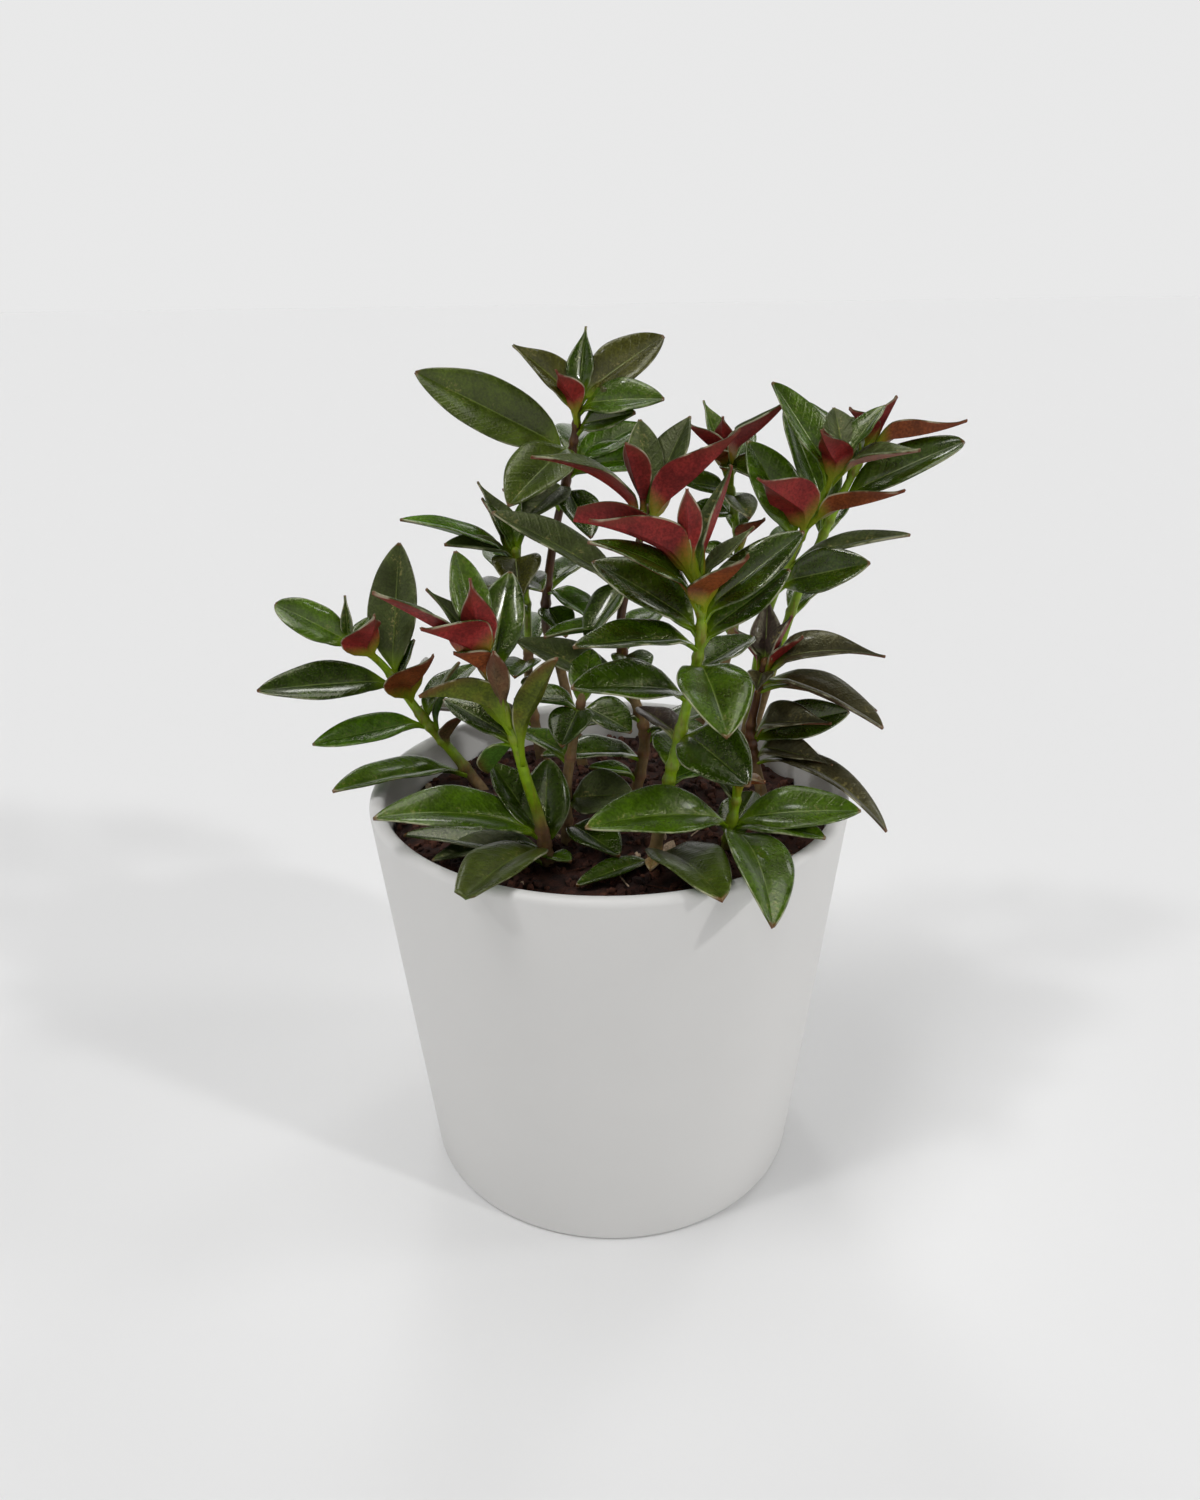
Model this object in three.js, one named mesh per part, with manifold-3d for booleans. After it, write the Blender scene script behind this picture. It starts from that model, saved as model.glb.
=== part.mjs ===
// Potted goldfish plant (Nematanthus): a tapered white pot, its soil and twelve leafy stems.
// Millimetres, +Z up. The origin is the middle of the pot's underside, and -Y is the front.
import * as THREE from 'three';
import { mergeVertices } from 'three/addons/utils/BufferGeometryUtils.js';
import Module from 'manifold-3d';

const wasm = await Module();
wasm.setup();

// Driving dimensions of the pot and of the soil in it
const POT_HEIGHT = 120;
const RIM_RADIUS = 70;
const FOOT_RADIUS = 57.5;
const WALL = 4.6;
const POT_FLOOR = 6;
const RIM_ROUND = 2.2;
const RIM_STEPS = 3;
const FOOT_ROUND = 1.5;
const FOOT_STEPS = 2;
const POT_SIDES = 44;
const SOIL_LEVEL = 108;
const SOIL_MOUND = 1.5;
const SOIL_SIDES = 26;
const SOIL_RINGS = [0.95, 0.75, 0.5, 0.25];
const GAP = 0.3;
const SAME_POINT = 1e-4;

// Driving dimensions that every leafy stem shares
const STEM_ROOT_RADIUS = 2.2;
const STEM_TIP_RADIUS = 1.1;
const STEM_SIDES = 6;
const STEM_STEP = 12;
const LEAST_STEM_STEPS = 3;
const ROOT_DEPTH = 12;
const BLADE = 0.9;
const CUP = 0.2;
const WIDEST_EARLY = 0.9;
const FULLNESS = 0.75;
const LONG_LEAF = 42;
const SHORT_LEAF = 19;
const STATIONS = {
  long: [0, 0.14, 0.4, 0.68, 0.88, 1],
  middle: [0, 0.16, 0.48, 0.8, 1],
  short: [0, 0.35, 0.75, 1],
};
const STALK_HALF_WIDTH = 0.8;
const POINT_HALF_WIDTH = 0.35;

// Each leafy stem: the points of its stem, from the soil up, and its leaves, one in a row:
// [mm up the stem, heading, rise, length, width, arch, roll, cut]. Heading 0 is +X and 90 is
// +Y, rise is the slope of the line from root to point, arch is how far the blade bends down
// over its length, and roll turns it about that line: all in degrees. A cut leaf ends
// bluntly, at that share of its length.
const SPRIGS = {
  sprig_far_left: {
    stem: [
      [-40, 20, 109], [-48, 20, 121], [-56, 20, 132],
      [-64, 20, 145], [-69, 18, 153], [-77, 16, 160],
    ],
    leaves: [
      [9, -137, 9, 47, 16, 12, -5],
      [29, -163, -8, 34, 12, 5, -30],
      [44, -160, 2, 40, 15, 12, -35],
      [62, 170, 25, 25, 12, 12, -45],
      [63, 90, 80, 13, 4, 0, 0],
      [59, -58, 42, 21, 15, -30, 15],
      [46, 75, 67, 40, 17, 5, 0],
      [43, 40, 60, 14, 7, 0, 0],
      [41, -45, 40, 22, 19, -30, 10],
      [62, 55, 35, 10, 5, 0, 0],
      [20, -30, 50, 13, 9, 10, 0],
      [26, 25, 62, 22, 10, 10, -20],
      [31, 60, 15, 30, 12, 15, 0],
    ],
  },
  sprig_front_left: {
    stem: [
      [-17, -30, 109], [-19, -32, 124], [-22, -34, 137],
      [-25, -35, 151], [-28, -36, 162], [-32, -38, 176],
    ],
    leaves: [
      [6, -113, 9, 47, 18, 25, 0, 0.93],
      [3, -40, 8, 9, 7, 0, 0],
      [11, -164, 13, 45, 18, 40, -15],
      [7, -178, -8, 31, 14, 15, 0],
      [3, 171, 6, 40, 13, 5, 0],
      [7, -150, -14, 20, 13, 5, 0],
      [9, 142, 42, 25, 15, 5, 0],
      [6, 88, 58, 24, 14, 5, 0],
      [41, 140, -50, 17, 13, 0, 0],
      [40, -35, 58, 29, 9, 15, -25],
      [40, 154, 22, 22, 11, 5, -15],
      [48, -150, 22, 24, 13, 40, 35],
      [49, -100, 64, 20, 6, -15, 0],
      [60, -135, 35, 13, 11, 10, 10],
      [59, 75, 56, 27, 13, 5, 10],
      [66, -157, 35, 31, 9, 5, 5],
      [66, -132, 28, 21, 16, 10, 25],
      [66, -93, 66, 22, 10, -10, 0],
      [67, 125, 64, 24, 11, 5, 0],
      [67, 165, 45, 19, 8, 10, -20],
    ],
  },
  sprig_back_left: {
    stem: [[-22, 42, 109], [-25, 42, 134], [-25, 42, 148], [-25, 42, 164], [-28, 40, 182]],
    leaves: [
      [16, 178, 5, 38, 15, 5, 0],
      [25, -75, 38, 15, 8, 0, 0],
      [38, 95, 10, 30, 13, 20, 0],
      [54, -121, 2, 17, 8, 0, 0],
      [59, -122, 14, 23, 14, 10, 0],
      [62, -70, 5, 21, 11, 10, 20],
      [60, 120, 15, 28, 12, 15, 0],
      [70, -166, 22, 37, 12, 20, -10],
      [71, 132, 50, 26, 11, 5, 0],
      [71, -149, 14, 24, 10, 10, -20],
      [72, -85, -30, 25, 17, 20, 0],
      [73, 149, 51, 18, 8, 0, 0],
      [73, 50, 60, 18, 9, -10, 0],
      [36, -100, 0, 18, 13, 10, 0],
    ],
  },
  sprig_tallest: {
    stem: [
      [-8, 36, 109], [-15, 38, 144], [-19, 40, 158], [-16, 40, 182],
      [-11, 38, 203], [-8, 36, 218], [-7, 34, 229],
    ],
    leaves: [
      [62, -35, -25, 20, 14, 0, 0],
      [62, 60, 5, 30, 13, 20, 0],
      [89, -149, 15, 20, 9, 10, 0],
      [94, -70, -30, 24, 13, 10, 0],
      [95, -118, -17, 25, 13, 15, -20],
      [99, 5, 5, 28, 14, 10, 40],
      [104, 172, 26, 51, 19, 0, -60],
      [104, 85, 5, 34, 15, 20, 0],
      [107, -134, -31, 30, 20, 20, -20],
      [101, 25, 20, 26, 11, 5, 40],
      [112, -32, 12, 20, 11, -5, 50],
      [118, -23, 3, 26, 13, 15, 45],
      [119, 164, 38, 26, 13, 5, -35, 0.93],
      [120, 14, 31, 30, 15, 10, 50],
      [118, -125, 45, 14, 9, -20, 20],
      [121, 75, 61, 20, 9, 0, 0],
      [56, -66, -22, 17, 12, 10, 0],
    ],
  },
  sprig_centre: {
    stem: [[8, 10, 109], [11, 8, 131], [6, 8, 149], [4, 6, 167], [8, 5, 185], [12, 5, 201]],
    leaves: [
      [9, -170, 15, 16, 9, 0, 0],
      [17, 179, -2, 31, 18, 5, 0],
      [23, 20, 10, 28, 12, 15, 0],
      [37, 173, 24, 37, 15, 10, -20],
      [52, 60, 10, 28, 12, 15, 0],
      [58, -160, 0, 23, 12, 10, 0],
      [73, -150, -48, 22, 15, 10, 0],
      [70, 171, 27, 43, 15, 10, -20],
      [72, 40, 15, 26, 11, 15, 0],
      [90, -164, 30, 36, 18, 50, -5],
      [92, -125, 60, 22, 10, -5, 0],
      [93, 100, 64, 24, 11, 5, 0],
      [93, 40, 56, 27, 15, 5, 0],
      [92, -19, 42, 33, 15, -20, -30],
      [50, -72, -8, 17, 13, 10, 0],
      [30, -150, 0, 20, 13, 10, 0],
      [26, -20, 0, 20, 13, 10, 0],
    ],
  },
  sprig_front: {
    stem: [
      [12, -30, 109], [13, -31, 118], [16, -32, 136], [20, -33, 156],
      [23, -34, 174], [22, -35, 187], [20, -35, 195],
    ],
    leaves: [
      [4, -71, 11, 44, 19, 30, 0],
      [2, -143, 0, 26, 9, 5, 0],
      [2, -100, 5, 9, 4, 10, 0],
      [26, 20, 10, 15, 8, 10, 10],
      [41, -56, -14, 27, 18, 15, 25],
      [39, 115, 2, 22, 10, 5, 0],
      [52, -161, 9, 32, 17, 10, -20],
      [57, 38, 13, 22, 14, 5, 0],
      [61, -79, -20, 30, 19, 20, 0],
      [66, -162, 3, 33, 14, 10, -15],
      [67, 12, 33, 27, 12, -5, 30],
      [69, 158, 27, 32, 17, 10, -25],
      [73, 5, 38, 31, 13, -5, 40],
      [78, -57, 36, 21, 14, -20, 15],
      [78, -171, 27, 30, 13, 35, -15],
      [82, 25, 35, 19, 6, -10, 10],
      [86, -164, 25, 28, 13, 35, 40],
      [85, 178, 20, 36, 14, 40, 40, 0.85],
      [87, -105, 72, 18, 7, -10, 0],
      [85, 35, 65, 25, 8, -15, -12],
      [30, 80, 8, 20, 13, 10, 0],
    ],
  },
  sprig_far_back: {
    stem: [[26, 44, 109], [40, 45, 146], [42, 46, 175], [40, 46, 191], [36, 45, 210]],
    leaves: [
      [45, 100, 15, 28, 12, 15, 0],
      [70, -160, 15, 15, 8, 0, -30],
      [76, -50, 35, 13, 9, -10, 0],
      [78, 80, 15, 28, 12, 15, 0],
      [84, -150, 8, 16, 9, 5, -30],
      [90, -81, -10, 21, 10, 10, 0],
      [91, -150, 14, 19, 10, 5, -40],
      [96, 60, 30, 22, 10, 10, 0],
      [100, -62, -12, 15, 11, 0, 20],
      [101, -128, 13, 17, 9, 0, 0],
      [103, 120, 50, 18, 9, -10, 0],
      [103, -26, 40, 25, 13, -20, 10],
      [103, -143, 34, 17, 9, -15, 0],
      [103, -109, 71, 11, 7, 0, 0],
    ],
  },
  sprig_right: {
    stem: [
      [40, 16, 109], [44, 18, 138], [47, 18, 163],
      [53, 18, 181], [60, 18, 196], [68, 18, 212],
    ],
    leaves: [
      [67, -34, 18, 28, 14, 0, 60],
      [70, 80, 20, 26, 11, 15, 0],
      [74, -11, 14, 34, 11, 10, 10],
      [81, 153, 56, 31, 17, 5, -35],
      [88, -142, 28, 27, 15, 10, 42],
      [90, -33, 17, 26, 10, -15, -30],
      [100, 161, 53, 31, 14, 5, -30],
      [104, -128, 36, 18, 11, -20, 10],
      [106, 180, 51, 10, 5, 0, 0],
      [106, 100, 50, 16, 11, 5, 0],
      [106, 25, 48, 18, 11, 5, 0],
      [104, -37, 14, 23, 13, 5, 12],
    ],
  },
  sprig_back_right: {
    stem: [[44, 34, 109], [51, 31, 140], [59, 31, 169], [70, 33, 196], [80, 34, 217]],
    leaves: [
      [55, 60, 10, 28, 12, 15, 0],
      [80, 70, 20, 28, 12, 15, 0],
      [84, 135, 62, 36, 20, 5, -10],
      [92, -9, 25, 37, 15, 10, 40],
      [100, 90, 35, 24, 11, 10, 0],
      [102, 174, 48, 24, 10, 5, -20],
      [109, 163, 32, 16, 9, 0, -20],
      [111, -13, 11, 26, 10, -25, -40],
      [112, -40, 62, 12, 7, 0, 0],
      [112, -147, 37, 13, 9, -10, 0],
    ],
  },
  sprig_mid_right: {
    stem: [[47, 0, 109], [42, 2, 132], [43, 2, 144], [45, 0, 158]],
    leaves: [
      [19, -31, -20, 44, 13, 60, 0],
      [22, -21, -7, 24, 13, 10, 20],
      [25, 8, 10, 30, 13, 15, 45],
      [28, -27, 12, 24, 15, 10, 20],
      [42, 7, -17, 37, 12, 20, 0],
      [45, -28, -17, 37, 17, 20, 0],
      [48, -18, 8, 33, 14, 45, 25],
      [46, -110, -20, 10, 8, 10, 0],
      [48, 10, 62, 15, 8, 0, 0],
      [48, -31, 42, 14, 5, 0, 0],
      [48, 153, 45, 13, 7, 0, 0],
      [48, 81, 57, 20, 10, 5, 0],
    ],
  },
  sprig_front_right: {
    stem: [[33, -22, 109], [32, -35, 122], [33, -36, 130], [33, -36, 139]],
    leaves: [
      [18, -82, -8, 41, 18, 55, -15],
      [20, -22, 2, 25, 12, 30, 10],
      [22, -157, 8, 42, 18, 30, -20],
      [22, -8, 5, 33, 15, 20, 25],
      [27, 150, 50, 9, 6, 0, 0],
      [33, -60, 20, 12, 6, 0, 0],
      [8, 60, 20, 20, 13, 10, 0],
    ],
  },
  sprig_inner_left: {
    stem: [[-12, -18, 109], [-12, -17, 125], [-10, -16, 138], [-8, -16, 147], [-7, -16, 154]],
    leaves: [
      [7, -48, -7, 22, 15, 5, 0],
      [14, -20, 10, 20, 16, 5, 30],
      [26, 130, 5, 22, 11, 10, 0],
      [42, -25, -22, 16, 15, 10, 10],
      [42, -110, -25, 16, 13, 10, 0],
      [42, 180, 5, 18, 13, 10, 0],
      [42, 80, 30, 20, 10, 10, 0],
    ],
  },
};

// Joins rings of equally many points into one closed geometry, with a fan over each end
function loft(rings) {
  const sides = rings[0].length;
  const indices = [];
  for (let ring = 0; ring < rings.length - 1; ring += 1) {
    for (let side = 0; side < sides; side += 1) {
      const here = ring * sides + side;
      const next = ring * sides + (side + 1) % sides;
      indices.push(here, next, next + sides, here, next + sides, here + sides);
    }
  }
  const last = (rings.length - 1) * sides;
  for (let side = 1; side < sides - 1; side += 1) {
    indices.push(0, side + 1, side);
    indices.push(last, last + side, last + side + 1);
  }
  const geometry = new THREE.BufferGeometry().setFromPoints(rings.flat());
  geometry.setIndex(indices);
  return geometry;
}

// Turns a closed geometry into a solid that can be joined and cut, with its points merged
function toSolid(geometry) {
  const bare = geometry.clone();
  bare.deleteAttribute('normal');
  bare.deleteAttribute('uv');
  const merged = mergeVertices(bare, SAME_POINT);
  return new wasm.Manifold(new wasm.Mesh({
    numProp: 3,
    vertProperties: new Float32Array(merged.attributes.position.array),
    triVerts: new Uint32Array(merged.index.array),
  }));
}

function toGeometry(solid) {
  const mesh = solid.getMesh();
  const geometry = new THREE.BufferGeometry();
  geometry.setAttribute('position', new THREE.BufferAttribute(mesh.vertProperties, 3));
  geometry.setIndex(new THREE.BufferAttribute(mesh.triVerts, 1));
  geometry.computeVertexNormals();
  return geometry;
}

function stemCurve(sprig) {
  const points = sprig.stem.map((point) => new THREE.Vector3(...point));
  return new THREE.CatmullRomCurve3(points, false, 'catmullrom', 0.5);
}

// The stem runs on below the soil, in a straight root, and narrows towards its tip
function stemRings(curve, extra = 0) {
  const steps = Math.max(LEAST_STEM_STEPS, Math.round(curve.getLength() / STEM_STEP));
  const frames = curve.computeFrenetFrames(steps, false);
  const ring = (centre, radius, index) => Array.from({ length: STEM_SIDES }, (_, side) => {
    const angle = (side / STEM_SIDES) * 2 * Math.PI;
    return centre.clone()
      .addScaledVector(frames.normals[index], radius * Math.cos(angle))
      .addScaledVector(frames.binormals[index], radius * Math.sin(angle));
  });
  const root = curve.getPointAt(0).addScaledVector(frames.tangents[0], -ROOT_DEPTH - extra);
  const rings = [ring(root, STEM_ROOT_RADIUS + extra, 0)];
  for (let step = 0; step <= steps; step += 1) {
    const share = step / steps;
    const radius = THREE.MathUtils.lerp(STEM_ROOT_RADIUS, STEM_TIP_RADIUS, share);
    rings.push(ring(curve.getPointAt(share), radius + extra, step));
  }
  return rings;
}

// Half the width of a blade at a share of its length: pointed, and widest before its middle
function halfWidth(width, share) {
  const swell = Math.sin(Math.PI * share ** WIDEST_EARLY) ** FULLNESS;
  const least = THREE.MathUtils.lerp(STALK_HALF_WIDTH, POINT_HALF_WIDTH, share);
  return Math.max((width / 2) * swell, least);
}

// The shares of a leaf's length at which its outline has points: fewer on a small leaf
function stations(length) {
  if (length >= LONG_LEAF) return STATIONS.long;
  return length > SHORT_LEAF ? STATIONS.middle : STATIONS.short;
}

// A pointed blade, arched over its length and cupped over its width: its upper face, from one
// edge over the midrib to the other, and the same points a blade's thickness lower
function leaf(curve, [at, heading, rise, length, width, arch, roll, cut = 1]) {
  const root = curve.getPointAt(Math.min(at / curve.getLength(), 1));
  const turn = THREE.MathUtils.degToRad(heading);
  const slope = THREE.MathUtils.degToRad(rise);
  const twist = THREE.MathUtils.degToRad(roll);
  const along = new THREE.Vector3(
    Math.cos(slope) * Math.cos(turn),
    Math.cos(slope) * Math.sin(turn),
    Math.sin(slope),
  );
  const across = new THREE.Vector3(-Math.sin(turn), Math.cos(turn), 0).applyAxisAngle(along, twist);
  const up = new THREE.Vector3().crossVectors(along, across);
  const sag = (length * THREE.MathUtils.degToRad(arch)) / 8;
  const rings = stations(length).map((station) => {
    const share = station * cut;
    const half = halfWidth(width, share);
    const point = (side, depth) => root.clone()
      .addScaledVector(along, length * share)
      .addScaledVector(across, side * half)
      .addScaledVector(up, sag * 4 * share * (1 - share) + CUP * Math.abs(side) * half - depth);
    const sides = length > SHORT_LEAF ? [1, 0, -1] : [1, -1];
    return [
      ...sides.map((side) => point(side, 0)),
      ...sides.toReversed().map((side) => point(side, BLADE)),
    ];
  });
  return loft(rings);
}

function leafyStem(sprig) {
  const curve = stemCurve(sprig);
  const blades = sprig.leaves.map((row) => toSolid(leaf(curve, row)));
  return blades.reduce((body, blade) => body.add(blade), toSolid(loft(stemRings(curve))));
}

// A quarter of a circle about (x, y) in the profile's plane, which rounds an edge
function roundEdge(x, y, radius, from, to, steps) {
  return Array.from({ length: steps + 1 }, (_, step) => {
    const angle = THREE.MathUtils.lerp(from, to, step / steps);
    return new THREE.Vector2(x + radius * Math.cos(angle), y + radius * Math.sin(angle));
  });
}

function outerRadius(height) {
  return THREE.MathUtils.lerp(FOOT_RADIUS, RIM_RADIUS, height / POT_HEIGHT);
}

function turned(profile, sides) {
  const geometry = new THREE.LatheGeometry(profile, sides);
  geometry.rotateX(Math.PI / 2);
  return geometry;
}

function potSolid() {
  const quarter = Math.PI / 2;
  const rimCentre = POT_HEIGHT - RIM_ROUND;
  const innerFloor = outerRadius(POT_FLOOR) - WALL;
  const profile = [
    new THREE.Vector2(0, 0),
    ...roundEdge(FOOT_RADIUS - FOOT_ROUND, FOOT_ROUND, FOOT_ROUND, -quarter, 0, FOOT_STEPS),
    ...roundEdge(RIM_RADIUS - RIM_ROUND, rimCentre, RIM_ROUND, 0, quarter, RIM_STEPS),
    ...roundEdge(RIM_RADIUS - WALL + RIM_ROUND, rimCentre, RIM_ROUND, quarter, Math.PI, RIM_STEPS),
    new THREE.Vector2(innerFloor, POT_FLOOR),
    new THREE.Vector2(0, POT_FLOOR),
  ];
  return toSolid(turned(profile, POT_SIDES));
}

// The soil fills the pot a hair clear of its wall, and each stem stands in a plain hole in it
function soilSolid(curves) {
  const foot = POT_FLOOR + GAP;
  const inner = (height) => outerRadius(height) - WALL - 2 * GAP;
  const mound = SOIL_RINGS.map((share) => new THREE.Vector2(
    inner(SOIL_LEVEL) * share,
    SOIL_LEVEL + SOIL_MOUND * (1 - share ** 2),
  ));
  const profile = [
    new THREE.Vector2(0, foot),
    new THREE.Vector2(inner(foot), foot),
    new THREE.Vector2(inner(SOIL_LEVEL), SOIL_LEVEL - SOIL_MOUND),
    ...mound,
    new THREE.Vector2(0, SOIL_LEVEL + SOIL_MOUND),
  ];
  const soil = toSolid(turned(profile, SOIL_SIDES));
  return curves.reduce((body, curve) => body.subtract(toSolid(loft(stemRings(curve, GAP)))), soil);
}

const FINISHES = {
  leaf: new THREE.MeshStandardMaterial({ color: 0x2f4a1d, roughness: 0.32, metalness: 0 }),
  pot: new THREE.MeshStandardMaterial({ color: 0xe4e3e1, roughness: 0.55, metalness: 0 }),
  soil: new THREE.MeshStandardMaterial({ color: 0x3f2118, roughness: 0.95, metalness: 0 }),
};

function addPiece(group, name, solid, material) {
  const mesh = new THREE.Mesh(toGeometry(solid), material);
  mesh.name = name;
  group.add(mesh);
}

const plant = new THREE.Group();
addPiece(plant, 'pot', potSolid(), FINISHES.pot);
addPiece(plant, 'soil', soilSolid(Object.values(SPRIGS).map(stemCurve)), FINISHES.soil);
Object.entries(SPRIGS).forEach(([name, sprig]) => {
  addPiece(plant, name, leafyStem(sprig), FINISHES.leaf);
});

export default plant;
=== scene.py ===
# %% [markdown]
# # A goldfish plant in a white pot
#
# The real object is a young goldfish plant: a dozen fleshy stems, each with pairs of thick, waxy
# leaves, standing in coarse peat in a plain tapered pot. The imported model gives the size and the
# place of every part. This lesson gives each part its real surface: a pot with a rounded rim, soil
# made of crumbs, stems that swell where leaves grow, and leaves with a folded blade, a midrib, a
# rolled edge and two differently coloured faces.
#
# Everything is measured in metres here, so a value in millimetres is multiplied by `MM`.

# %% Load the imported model
import math
import random

import bpy
import numpy as np
from mathutils import Matrix, Vector
from mathutils.bvhtree import BVHTree


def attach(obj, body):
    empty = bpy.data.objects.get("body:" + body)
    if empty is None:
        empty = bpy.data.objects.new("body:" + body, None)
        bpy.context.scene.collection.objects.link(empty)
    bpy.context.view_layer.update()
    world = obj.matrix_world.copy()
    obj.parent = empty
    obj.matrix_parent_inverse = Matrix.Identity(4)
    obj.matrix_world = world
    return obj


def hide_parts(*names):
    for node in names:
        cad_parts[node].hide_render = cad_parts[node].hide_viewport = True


MM = 0.001
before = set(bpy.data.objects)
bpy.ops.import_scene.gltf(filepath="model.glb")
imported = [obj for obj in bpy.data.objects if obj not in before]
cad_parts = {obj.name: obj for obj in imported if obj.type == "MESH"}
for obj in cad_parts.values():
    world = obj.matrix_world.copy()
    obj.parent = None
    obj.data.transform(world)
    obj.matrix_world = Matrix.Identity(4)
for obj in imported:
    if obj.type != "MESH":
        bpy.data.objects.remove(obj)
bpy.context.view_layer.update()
print("nodes:", ", ".join(sorted(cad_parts)))


# %% [markdown]
# ## Two habits
#
# An operator acts on everything that is selected, so each step starts with nothing selected. And a
# face is chosen by what it is, such as "the one on top", not by a number, so a small test on its
# middle and its normal does the selecting.

# %% Helpers for selecting
def start_fresh():
    """Leaves edit mode and selects nothing."""
    if bpy.context.object and bpy.context.object.mode != "OBJECT":
        bpy.ops.object.mode_set(mode="OBJECT")
    bpy.ops.object.select_all(action="DESELECT")


def make_active(thing):
    """Selects one object alone, for the next operator."""
    start_fresh()
    thing.select_set(True)
    bpy.context.view_layer.objects.active = thing


def select_faces(thing, wanted):
    """In edit mode, selects the faces for which wanted(middle, normal) is true."""
    bpy.ops.mesh.select_mode(type="FACE")
    bpy.ops.mesh.select_all(action="DESELECT")
    bpy.ops.object.mode_set(mode="OBJECT")
    for face in thing.data.polygons:
        face.select = wanted(face.center, face.normal)
    bpy.ops.object.mode_set(mode="EDIT")


def select_edges(thing, wanted):
    """In edit mode, selects the edges for which wanted(one end, other end) is true."""
    bpy.ops.mesh.select_mode(type="EDGE")
    bpy.ops.mesh.select_all(action="DESELECT")
    bpy.ops.object.mode_set(mode="OBJECT")
    points = thing.data.vertices
    for edge in thing.data.edges:
        first, second = (points[index].co for index in edge.vertices)
        edge.select = wanted(first, second)
    bpy.ops.object.mode_set(mode="EDIT")


def settle(thing, smooth_degrees=None):
    """Applies the object's place to its mesh, and shades it smooth up to an angle."""
    make_active(thing)
    bpy.ops.object.transform_apply(location=True, rotation=True, scale=True)
    if smooth_degrees is not None:
        bpy.ops.object.shade_smooth_by_angle(angle=math.radians(smooth_degrees))


def keep(thing, name, nodes):
    """Names a finished piece, hides the model's nodes that it stands for, and hangs it on the root.
    """
    thing.name = name
    thing.data.name = name
    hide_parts(*nodes)
    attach(thing, "root")
    thing.data.calc_loop_triangles()
    print(f"{name}: {len(thing.data.loop_triangles)} triangles")


# %% [markdown]
# ## The camera
#
# The photograph looks down on the plant by 22.7 degrees from about a third of a metre away, with a
# wide lens. Those values come from the two ellipses of the pot, its rim and its foot. The camera's
# three directions are written out, because the picture is also turned by a little less than a
# degree.

# %% Camera
LOOK_DOWN = math.radians(22.7)
PICTURE_TURN = math.radians(-0.8)
AIM = Vector((-2.4, 0, 130)) * MM
DISTANCE = 323 * MM
LENS = 26.51
SENSOR = 36

backwards = Vector((0, -math.cos(LOOK_DOWN), math.sin(LOOK_DOWN)))
level_right = Vector((1, 0, 0))
level_up = backwards.cross(level_right)
right = math.cos(PICTURE_TURN) * level_right + math.sin(PICTURE_TURN) * level_up
upwards = backwards.cross(right)
eye = AIM + backwards * DISTANCE

bpy.ops.object.camera_add()
camera = bpy.context.object
camera.name = "camera"
camera.data.lens = LENS
camera.data.sensor_width = SENSOR
camera.data.clip_start = 10 * MM
camera.matrix_world = Matrix((
    (right.x, upwards.x, backwards.x, eye.x),
    (right.y, upwards.y, backwards.y, eye.y),
    (right.z, upwards.z, backwards.z, eye.z),
    (0, 0, 0, 1),
))
bpy.context.scene.camera = camera
print("camera at", tuple(round(value, 3) for value in eye))


# %% [markdown]
# ## Writing a finish
#
# A finish is a network of nodes, and a network is easier to read as sums. `Field` is a number or a
# colour that changes over the surface. Adding or multiplying two fields makes the Math node that
# does it. `Finish` makes every other node with one method: its kind, its settings, and then what
# goes into its sockets.

# %% Fields and finishes
class Field:
    """The output of a node: a value that changes over a surface."""

    def __init__(self, finish, socket):
        self.finish = finish
        self.socket = socket

    def maths(self, operation, *values):
        """A Math node on two fields or numbers."""
        settings = {"operation": operation}
        return self.finish.node("ShaderNodeMath", settings, dict(enumerate(values)))

    def __add__(self, other):
        return self.maths("ADD", self, other)

    def __sub__(self, other):
        return self.maths("SUBTRACT", self, other)

    def __rsub__(self, other):
        return self.maths("SUBTRACT", other, self)

    def __mul__(self, other):
        return self.maths("MULTIPLY", self, other)

    __radd__ = __add__
    __rmul__ = __mul__

    def sine(self):
        """Waves up and down between -1 and 1 as the field grows."""
        return self.maths("SINE", self)

    def ramp(self, start, end, low=0, high=1):
        """Goes smoothly from low at start to high at end."""
        settings = {"interpolation_type": "SMOOTHSTEP"}
        sockets = {"Value": self, "From Min": start, "From Max": end, "To Min": low, "To Max": high}
        return self.finish.node("ShaderNodeMapRange", settings, sockets)


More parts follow.
